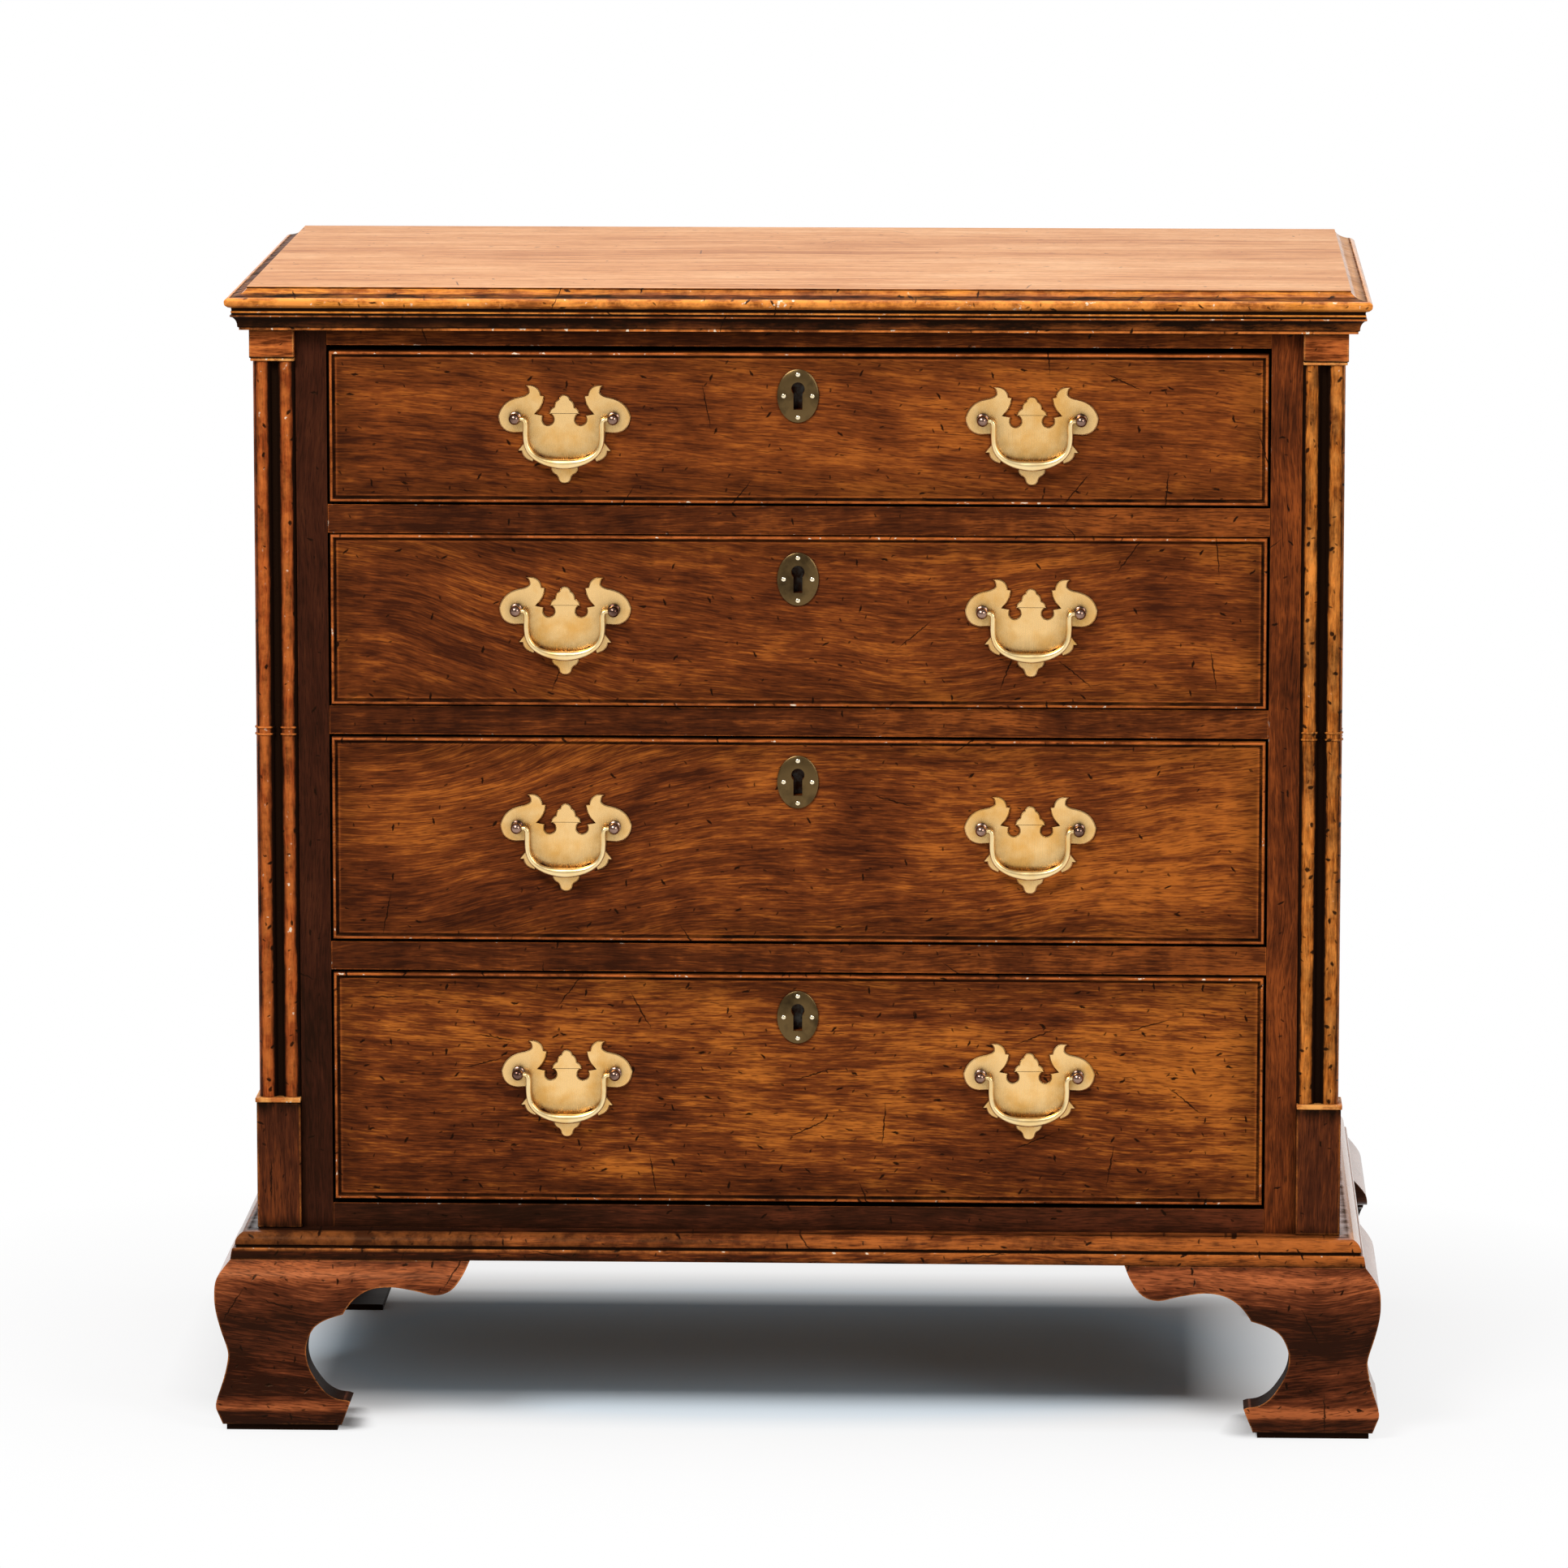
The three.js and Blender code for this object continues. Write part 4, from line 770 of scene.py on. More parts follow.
CAPITAL_WOOD = Mahogany(
    "waxed_mahogany_capital", "5a280f", "b8602c", "e0823a", band_mm=6, contrast=1.1, dents=0.8, arris=1.0,
    arris_mm=2.8, worn="f8ac5c", glints=0.9, fade=0.05, seed=23.0,
)
SIDE_WOOD = Mahogany(
    "waxed_mahogany_side", "4a2010", "7c3e1c", "b8692e", grain=Grain.SIDE, band_mm=14, wave_mm=6,
    dents=0.4, fade=0.07, seed=29.0,
)
FOOT_WOOD = Mahogany(
    "waxed_mahogany_foot", "2a120a", "69331c", "b86438", band_mm=14, wave_mm=9, contrast=0.95, dents=0.9,
    arris=1.0, arris_mm=2.2, worn="e08a48", upward_light=0.07, inward_shade=0.95, shaded_below_mm=4.6, glints=0.9,
    light_by_height=FOOT_LIGHT_AND_WEAR, roughness=0.28, coat=0.7, bleached="bc7c4c", seed=31.0,
)
INSIDE_WOOD = Mahogany(
    "dry_oak", "8e5e34", "b27e4a", "ce9a60", band_mm=7, streak_mm=1.6, contrast=0.8, dents=0.2,
    worn="c8a070", grime_and_shade="3a2818", arris=0.25, roughness=0.62, grain=Grain.DEEP, gleam="ffffff", seed=37.0,
)
BACK_WOOD = Mahogany(
    "dry_pine_boards", "9c663a", "ca8e58", "e6b27c", band_mm=14, streak_mm=2.2, contrast=1.0, dents=0.4,
    worn="b89262", grime_and_shade="2e2016", arris=0.3, roughness=0.68, gleam="ffffff", seed=41.0,
)
BRIGHT_BRASS = Brass("polished_cast_brass", "ffd28e", "f2b866", "54441e", roughness=0.27, tarnish_and_shade_share=0.8)
BAIL_BRASS = Brass(
    "rubbed_cast_brass_bail", "ffe2a8", "f6ce88", "6a5628", roughness=0.34, tarnish_and_shade_share=0.4, seed=2.0,
)
DARK_BRASS = Brass(
    "patinated_sheet_brass", "6a5434", "3a2d1c", "14100a", roughness=0.34, tarnish_and_shade_share=0.8, seed=3.0,
)
PIN_BRASS = Brass(
    "rubbed_brass_nail", "fff0d0", "f0dcb0", "6a5a40", roughness=0.2, tarnish_and_shade_share=0.2, seed=4.0,
)
POST_BRASS = Brass(
    "bronzed_brass_post", "a08070", "54382e", "1c120e", roughness=0.22, tarnish_and_shade_share=0.6, seed=6.0,
)
LOCK_IRON = Iron("wrought_lock_iron")


@dataclass
class Shell:
    """Points in millimetres with the faces between them, and two marks on each point."""

    points: Points = field(default_factory=list)
    faces: list[tuple[int, ...]] = field(default_factory=list)
    marks: list[Pair] = field(default_factory=list)

    def loft(
        self,
        rings: Sequence[Sequence[Vector]],
        marks: Sequence[Sequence[Pair]] | None = None,
        capped: bool = True,
        round_again: bool = False,
    ) -> Shell:
        """Joins rings of equally many points.

        Args:
            rings: Rings in order.
            marks: Dark wax with painted shade, and wear with painted highlight, of every point, or none.
            capped: Whether the first and last ring are closed by a face.
            round_again: Whether the last ring joins the first one.

        Returns:
            The shell itself.
        """
        start, count = len(self.points), len(rings[0])
        for i, ring in enumerate(rings):
            self.points += ring
            self.marks += marks[i] if marks else [(0.0, 0.0)] * count
        spans = len(rings) if round_again else len(rings) - 1
        for i in range(spans):
            low, high = start + i * count, start + ((i + 1) % len(rings)) * count
            for j in range(count):
                k = (j + 1) % count
                self.faces.append((low + j, low + k, high + k, high + j))
        if capped and not round_again:
            self.faces.append(tuple(start + j for j in reversed(range(count))))
            self.faces.append(tuple(start + (len(rings) - 1) * count + j for j in range(count)))
        return self

    def turn(self, profile: Sequence[Pair], centre: Vector, axis: Vector, sides: int = 32) -> Shell:
        """Turns a profile round an axis.

        Args:
            profile: Radius and distance along the axis, from end to end.
            centre: Where the distance is zero.
            axis: Direction of the axis.
            sides: Steps in a turn.

        Returns:
            The shell itself.
        """
        along = axis.normalized()
        first = along.orthogonal().normalized()
        second = along.cross(first)
        steps = [2 * math.pi * k / sides for k in range(sides)]
        spokes = [first * math.cos(a) + second * math.sin(a) for a in steps]
        rings = [[centre + along * far + spoke * max(r, MERGE_MM) for spoke in spokes] for r, far in profile]
        return self.loft(rings)

    def piece(
        self, name: str, material: Material, body: str, slot: str, replaces: str | None = None,
        smooth_under: float = 35.0, edge: Material | None = None,
    ) -> Object:
        """Turns the shell into a piece of the chest.

        Args:
            name: Name of the piece.
            material: Finish of the piece.
            body: Body of the frame that it rides on.
            slot: Slot of the record that the finish belongs to; not used.
            replaces: Node that it stands for, or none.
            smooth_under: Angle in degrees under which an edge is shaded smooth.
            edge: Finish of the faces that don't look straight up, or none.

        Returns:
            The new object.
        """
        mesh = bpy.data.meshes.new(name)
        mesh.from_pydata([p * MM for p in self.points], [], self.faces)
        for i, word in enumerate(("grime_and_shade", "worn")):
            layer = mesh.attributes.new(word, "FLOAT", "POINT")
            layer.data.foreach_set("value", [mark[i] for mark in self.marks])
        made = bmesh.new()
        made.from_mesh(mesh)
        bmesh.ops.remove_doubles(made, verts=made.verts, dist=MERGE_MM * MM)
        bmesh.ops.recalc_face_normals(made, faces=made.faces)
        made.to_mesh(mesh)
        made.free()
        piece = finish_piece(mesh, name, material, body, replaces, smooth_under)
        if edge:
            mesh.materials.append(edge)
            for face in mesh.polygons:
                face.material_index = 0 if face.normal.z > LEVEL_NORMAL else 1
        return piece


def finish_piece(
    mesh: bpy.types.Mesh, name: str, material: Material, body: str, replaces: str | None,
    smooth_under: float,
) -> Object:
    """Shades a mesh, links it to the scene and ties it to the frame.

    Args:
        mesh: Finished mesh in metres.
        name: Name of the piece.
        material: Finish of the piece.
        body: Body of the frame that it rides on.
        replaces: Node that it stands for, or none.
        smooth_under: Angle in degrees under which an edge is shaded smooth.

    Returns:
        The new object.
    """
    mesh.materials.clear()
    mesh.materials.append(material)
    mesh.shade_smooth()
    mesh.set_sharp_from_angle(angle=math.radians(smooth_under))
    made = bpy.data.objects.new(name, mesh)
    bpy.context.scene.collection.objects.link(made)
    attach(made, body)
    if replaces:
        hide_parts(replaces)
    log.info("%s: %d faces", name, len(mesh.polygons))
    return made


def soften(made: Object, width_mm: float, segments: int = 2, angle: float = 30.0) -> None:
    """Rounds the sharp edges of an object by a bevel modifier.

    Args:
        made: Object that is rounded.
        width_mm: Width of the rounding.
        segments: Steps across it.
        angle: Least angle in degrees of an edge that is rounded.
    """
    bevel = made.modifiers.new("rounding", "BEVEL")
    bevel.width = width_mm * MM
    bevel.segments = segments
    bevel.limit_method = "ANGLE"
    bevel.angle_limit = math.radians(angle)
    bevel.use_clamp_overlap = True


def dress(made: Object, material: Material, width_mm: float = 0.5) -> None:
    """Gives a node of the frame its finish and rounds its arrises.

    Args:
        made: Object of the node.
        material: Finish of the node.
        width_mm: Width of the rounded arris.
    """
    made.data.materials.clear()
    made.data.materials.append(material)
    for slot in made.material_slots:
        slot.material = material
    soften(made, width_mm)
    log.info("%s: dressed in %s", made.name, material.name)


def arc(start: Pair, end: Pair, bulge: float, steps: int) -> list[Pair]:
    """Points of an arc without its first one.

    Args:
        start: Where the arc starts.
        end: Where it ends.
        bulge: Tangent of a quarter of its angle, with its side as the sign; zero is a straight line.
        steps: Number of points.

    Returns:
        The points.
    """
    if not bulge:
        return [end]
    (x0, y0), (x1, y1) = start, end
    angle = 4 * math.atan(bulge)
    chord = math.hypot(x1 - x0, y1 - y0)
    radius = chord / (2 * math.sin(angle / 2))
    rise = radius * math.cos(angle / 2)
    cx = (x0 + x1) / 2 - rise * (y1 - y0) / chord
    cy = (y0 + y1) / 2 + rise * (x1 - x0) / chord
    first = math.atan2(y0 - cy, x0 - cx)
    size = abs(radius)
    turns = [first + angle * (i + 1) / steps for i in range(steps)]
    return [(cx + size * math.cos(t), cy + size * math.sin(t)) for t in turns]


def between(a: float, b: float, c: float, d: float, t: float) -> float:
    """Value at a share of the way from the second to the third of four values on a smooth run."""
    square, cube = 2 * a - 5 * b + 4 * c - d, 3 * b - a - 3 * c + d
    return 0.5 * (2 * b + (c - a) * t + square * t * t + cube * t**3)


def spline(points: Sequence[Sequence[float]], steps: int) -> list[tuple[float, ...]]:
    """Smooth run through points of any number of values.

    Args:
        points: Points that the run passes through.
        steps: Points made from each one to the next.

    Returns:
        The points of the run, both ends included.
    """
    ends = [points[0], *points, points[-1]]
    made: list[tuple[float, ...]] = []
    for i in range(1, len(ends) - 2):
        near = list(zip(*ends[i - 1 : i + 3]))
        for k in range(steps):
            made.append(tuple(between(*four, k / steps) for four in near))
    return [*made, tuple(points[-1])]


def box_mm(node: str) -> tuple[Vector, Vector]:
    """Lowest and highest corner of a node in millimetres."""
    low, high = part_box(node)
    return Vector(low) / MM, Vector(high) / MM


@dataclass
class CaseSizes:
    """Planes of the case and the seam between its pieces, as the part's source has them."""

    block_half: float = 389.7
    case_half: float = 387.7
    block_front: float = -215.1
    rail_front: float = -208.1
    back: float = 243.9
    seam: float = 0.3


@dataclass
class Bend:
    """One stretch of a moulding: where it ends, how it bends, its dark wax with painted shade, and its wear
    with painted highlight.
    """

    out: float
    z: float
    bulge: float = 0.0
    grime_and_shade: float = 0.0
    worn: float = 0.0


@dataclass
class Moulding:
    """A moulding mitred round the front and both sides of the case."""

    name: str
    start: Bend
    bends: list[Bend]
    case: CaseSizes
    steps: int = 7

    def face(self) -> tuple[list[Pair], list[Pair]]:
        """Fine points of the moulding's face from its top down.

        Returns:
            The points, and the dark wax with painted shade and the wear with painted highlight at each.
        """
        points: list[Pair] = [(self.start.out, self.start.z)]
        marks: list[Pair] = [(self.start.grime_and_shade, self.start.worn)]
        before = self.start
        for bend in self.bends:
            fresh = arc((before.out, before.z), (bend.out, bend.z), bend.bulge, self.steps)
            for i, point in enumerate(fresh):
                share = (i + 1) / len(fresh)
                grime_and_shade = before.grime_and_shade + share * (bend.grime_and_shade - before.grime_and_shade)
                worn = before.worn + share * (bend.worn - before.worn)
                points.append(point)
                marks.append((grime_and_shade, worn))
            before = bend
        return points, marks

    def build(self, material: Material) -> Object:
        """Builds the run and lets it stand for its node.

        Args:
            material: Finish of the moulding.

        Returns:
            The new object.
        """
        points, marks = self.face()
        case = self.case
        high, low = points[0][1], points[-1][1]
        rings, ring_marks = [], []
        for side, front in ((-1, False), (-1, True), (1, True), (1, False)):
            ring = [
                Vector((side * (case.block_half + out), case.block_front - out if front else case.back, z))
                for out, z in points
            ]
            for z in (low, high):
                inner = case.rail_front - case.seam if front else case.back
                ring.append(Vector((side * (case.case_half + case.seam), inner, z)))
            rings.append(ring)
            ring_marks.append([*marks, (0.0, 0.0), (0.0, 0.0)])
        shell = Shell().loft(rings, ring_marks)
        return shell.piece(self.name, material, ROOT, "mahogany_dark", replaces=self.name)


@dataclass
class TopAssembly:
    """Moulded top board with the cornice under it."""

    case: CaseSizes
    flat_out: float = 1.0
    top: float = 825.0

    def board(self) -> None:
        """Builds the top board: a cove over a half round on three edges, plain at the back."""
        start = Bend(self.flat_out, self.top, grime_and_shade=1.0)
        # dark marks on quirks and undercuts are wax and painted shade; bright marks on rolls are wear and
        # painted highlight
        bends = [
            Bend(1.0, 824.1, grime_and_shade=1.0),
            Bend(1.1, 823.6, grime_and_shade=0.1, worn=0.5),
            Bend(4.0, 820.8, bulge=0.07, grime_and_shade=0.25, worn=0.3),
            Bend(5.0, 820.2, grime_and_shade=0.62),
            Bend(12.2, 818.3, bulge=0.1, grime_and_shade=0.72),
            Bend(12.7, 818.3, grime_and_shade=0.3, worn=0.8),
            Bend(13.6, 818.1, worn=0.95),
            Bend(15.9, 816.4, bulge=-0.14, worn=0.9),
            Bend(15.6, 813.2, bulge=-0.14, worn=0.8),
            Bend(13.2, 811.3, bulge=-0.1, grime_and_shade=0.15, worn=0.6),
            Bend(11.3, 810.7, grime_and_shade=0.97),
            Bend(11.1, 808.8, grime_and_shade=0.97),
            Bend(11.6, 808.5, worn=0.7),
            Bend(11.6, 807.4, worn=0.7),
            Bend(11.2, 807.2, grime_and_shade=0.97),
            Bend(11.2, 806.0, grime_and_shade=1.0),
        ]
        edge = Moulding("top_board", start, bends, self.case)
        points, marks = edge.face()
        rings = []
        for out, z in reversed(points):
            half, front = self.case.block_half + out, self.case.block_front - out
            corners = ((-half, front), (half, front), (half, self.case.back), (-half, self.case.back))
            rings.append([Vector((x, y, z)) for x, y in corners])
        ring_marks = [[mark] * 4 for mark in reversed(marks)]
        ring_marks[-1] = [(0.0, 0.0)] * 4
        shell = Shell().loft(rings, ring_marks)
        edge_wood = TOP_EDGE_WOOD.build()
        shell.piece(
            "top_board_moulded", TOP_WOOD.build(), ROOT, "mahogany_top", replaces="top_board", edge=edge_wood
        )

    def cornice(self, material: Material) -> None:
        """Builds the cornice moulding: a bead, a cove and a fillet.

        Args:
            material: Finish of the moulding.
        """
        start = Bend(12.2, 805.7, worn=0.4)
        # dark marks on the cove and quirks are wax and painted shade; bright marks on the bead and fillet are
        # wear and painted highlight
        bends = [
            Bend(12.2, 805.3, worn=0.6),
            Bend(11.9, 804.5, bulge=-0.4, grime_and_shade=0.1, worn=0.4),
            Bend(10.6, 804.0, grime_and_shade=0.95),
            Bend(8.4, 801.5, bulge=0.12, grime_and_shade=0.7),
            Bend(7.5, 797.5, bulge=0.12, grime_and_shade=0.6, worn=0.2),
            Bend(7.3, 796.9, grime_and_shade=0.9),
            Bend(6.6, 796.6, grime_and_shade=0.6),
            Bend(6.3, 796.3, worn=1.0),
            Bend(6.3, 794.7, worn=0.9),
        ]
        Moulding("cornice_moulding", start, bends, self.case).build(material)

    def build(self, moulding: Material) -> None:
        """Builds both pieces."""
        self.board()
        self.cornice(moulding)


@dataclass
class BaseAssembly:
    """Base moulding and the four ogee bracket feet."""

    case: CaseSizes
    swell: float = 28.8
    foot_height: float = 124.5
    pad_height: float = 4.5
    pad_inset: float = 7.5
    pad_length: float = 80.0
    front_bracket: float = 183.3
    side_bracket: float = 165.0
    back_bracket: float = 150.0
    thickness: float = 30.0
    back_thickness: float = 18.0
    glue_block: float = 26.0
    band_out: float = 18.0
    # how far cutters run past a foot, and how far added blocks reach into it
    overrun: float = 5.0
    overlap: float = 1.0

    def moulding(self, material: Material) -> None:
        """Builds the base moulding: a quarter round over a quirk and a sloping band.

        Args:
            material: Finish of the moulding.
        """
        start = Bend(5.6, 144.0, grime_and_shade=0.7)
        # dark marks in the quirk and under the round are wax and painted shade; bright marks on the edges are
        # wear and painted highlight
        bends = [
            Bend(8.4, 143.5, bulge=-0.06, worn=0.3),
            Bend(13.4, 139.9, bulge=-0.16, worn=0.26),
            Bend(14.9, 135.6, bulge=-0.14, worn=0.2),
            Bend(14.9, 134.8, grime_and_shade=0.6),
            Bend(14.1, 134.2, grime_and_shade=1.0),
            Bend(14.1, 132.8, grime_and_shade=1.0),
            Bend(16.3, 132.6, worn=0.75),
            Bend(16.9, 131.6, bulge=-0.1, worn=0.5),
            Bend(17.2, 130.2, grime_and_shade=0.2),
            Bend(17.9, 125.8, grime_and_shade=0.6),
            Bend(18.0, 124.9, grime_and_shade=0.7),
        ]
        Moulding("base_moulding", start, bends, self.case).build(material)

    def ogee(self) -> list[Pair]:
        """Swell of a foot from its pad up.

        Returns:
            Distances past the column blocks, with the height of each.
        """
        shares = [
            (0.83, 0), (0.98, 0.1), (0.97, 0.15), (0.8, 0.28), (0.71, 0.38), (0.71, 0.45), (0.86, 0.58),
            (0.97, 0.7), (1, 0.8), (0.94, 0.9), (self.band_out / self.swell, 1),
        ]
        rise = self.foot_height - self.pad_height
        run = spline([(o * self.swell, self.pad_height + r * rise) for o, r in shares[1:]], 4)
        toe = (shares[0][0] * self.swell, self.pad_height)
        return [toe, *[(min(out, self.swell), z) for out, z in run]]

    def scaled(self, shares: Iterable[Pair], length: float) -> list[Pair]:
        """Shares of a bracket's length and height as millimetres."""
        rise = self.foot_height - self.pad_height
        return [(a * length, self.pad_height + r * rise) for a, r in shares]

    def scroll(self, length: float) -> list[Pair]:
        """Scrolled edge of a bracket from its toe to its wing.

        Args:
            length: Length of the bracket.

        Returns:
            Distances along the bracket, with the height of each.
        """
        toe = [(0.495, 0), (0.532, 0.15)]
        hollow = [
            (0.518, 0.158), (0.472, 0.17), (0.428, 0.212), (0.39, 0.285), (0.364, 0.36), (0.355, 0.44),
            (0.364, 0.52), (0.392, 0.6), (0.44, 0.65), (0.505, 0.685),
        ]
        wing = [
            (0.514, 0.71), (0.55, 0.78), (0.61, 0.838), (0.69, 0.855), (0.784, 0.835), (0.868, 0.808),
            (0.93, 0.838), (0.974, 0.92), (1, 1),
        ]
        return [
            *self.scaled(toe, length),
            *spline(self.scaled(hollow, length), 5),
            *spline(self.scaled(wing, length), 4),
        ]

    def scoop(self, length: float) -> list[Pair]:
        """Plain scooped edge of the bracket at the back."""
        shares = [(0.5, 0), (0.42, 0.25), (0.45, 0.5), (0.62, 0.7), (1, 0.82)]
        return spline(self.scaled(shares, length), 5)

    def solid(self, rings: Sequence[Sequence[Vector]]) -> Object:
        """Makes a loose object, for joining and cutting.

        Args:
            rings: Rings of equally many points.

        Returns:
            The object.
        """
        shell = Shell().loft(rings)
        mesh = bpy.data.meshes.new("tool")
        mesh.from_pydata([p * MM for p in shell.points], [], shell.faces)
        made = bmesh.new()
        made.from_mesh(mesh)
        bmesh.ops.recalc_face_normals(made, faces=made.faces)
        made.to_mesh(mesh)
        made.free()
        tool = bpy.data.objects.new("tool", mesh)
        bpy.context.scene.collection.objects.link(tool)
        return tool

    def block(self, x: Pair, y: Pair, z: Pair) -> Object:
        """Makes a loose block.

        Args:
            x: Its two limits on X.
            y: Its two limits on Y.
            z: Its lowest and highest level.

        Returns:
            The object.
        """
        (x0, x1), (y0, y1) = sorted(x), sorted(y)
        corners = ((x0, y0), (x1, y0), (x1, y1), (x0, y1))
        return self.solid([[Vector((a, b, level)) for a, b in corners] for level in z])

    def under(self, edge: list[Pair], length: float, far: Pair, lay: Lay) -> Object:
        """What a bracket's edge leaves open.

        Args:
            edge: Edge of the bracket.
            length: Length of the bracket.
            far: Limits of the cut across the bracket.
            lay: Gives the place for a distance along, a distance across and a height.

        Returns:
            The loose cutter.
        """
        beyond = length + self.overrun
        over, below = self.foot_height + self.overrun, -self.overrun
        ends = [(edge[-1][0], over), (beyond, over), (beyond, below), (edge[0][0], below)]
        return self.solid([[lay(d, across, z) for d, z in [*edge, *ends]] for across in far])

    def foot(self, hand: Hand, at_back: bool, material: Material) -> None:
        """Builds one bracket foot by lofting its swell and cutting its scrolls.

        Args:
            hand: Side of the chest.
            at_back: Whether it is a rear foot.
            material: Finish of the foot.
        """
        side, case = hand.value, self.case
        length = self.back_bracket if at_back else self.front_bracket
        wall = self.back_thickness if at_back else self.thickness

        def x_at(distance: float) -> float:
            """Place on X of a distance from the swell."""
            return side * (case.block_half + self.swell - distance)

        def y_at(distance: float) -> float:
            """Place on Y of a distance from the swell or the back."""
            return case.back - distance if at_back else case.block_front - self.swell + distance

        rings = []
        for out, z in self.ogee():
            near = 0.0 if at_back else self.swell - out
            corners = (
                (length, near), (self.swell - out, near), (self.swell - out, self.side_bracket),
                (length, self.side_bracket),
            )
            rings.append([Vector((x_at(a), y_at(b), z)) for a, b in corners])
        body = self.solid(rings)
        tall = (-self.overrun, self.foot_height + self.overrun)
        cutters = [
            self.block(
                (x_at(length + self.overrun), x_at(self.thickness)),
                (y_at(wall), y_at(self.side_bracket + self.overrun)), tall,
            ),
            self.under(
                self.scoop(length) if at_back else self.scroll(length), length,
                (-self.overrun, self.side_bracket + self.overrun),
                lambda along, across, z: Vector((x_at(along), y_at(across), z)),
            ),
            self.under(
                self.scroll(self.side_bracket), self.side_bracket, (-self.overrun, length + self.overrun),
                lambda along, across, z: Vector((x_at(across), y_at(along), z)),
            ),
        ]
        pad_near = 0.0 if at_back else self.pad_inset
        added = [
            self.block(
                (x_at(self.thickness + self.glue_block), x_at(self.thickness - self.overlap)),
                (y_at(wall - self.overlap), y_at(wall + self.glue_block)),
                (self.pad_height - self.overlap, self.foot_height),
            ),
            self.block(
                (x_at(self.pad_inset + self.pad_length), x_at(self.pad_inset)),
                (y_at(pad_near), y_at(pad_near + self.pad_length)), (0.0, self.pad_height),
            ),
        ]
        for operation, tools in (("DIFFERENCE", cutters), ("UNION", added)):
            for tool in tools:
                step = body.modifiers.new("joint", "BOOLEAN")
                step.operation, step.object, step.solver = operation, tool, "EXACT"
        # the joined and cut mesh is taken over, so the loose objects can go
        graph = bpy.context.evaluated_depsgraph_get()
        mesh = bpy.data.meshes.new_from_object(body.evaluated_get(graph))
        for spare in [body, *cutters, *added]:
            bpy.data.objects.remove(spare)
        node = f"{'rear' if at_back else 'front'}_{hand.word}_foot"
        made = finish_piece(mesh, node + "_carved", material, ROOT, node, 32.0)
        soften(made, 0.7, angle=38.0)

    def build(self, moulding: Material, wood: Material) -> None:
        """Builds the moulding and all four feet.

        Args:
            moulding: Finish of the moulding.
            wood: Finish of the feet.
        """
        self.moulding(moulding)
        for hand in Hand:
            for at_back in (False, True):
                self.foot(hand, at_back, wood)


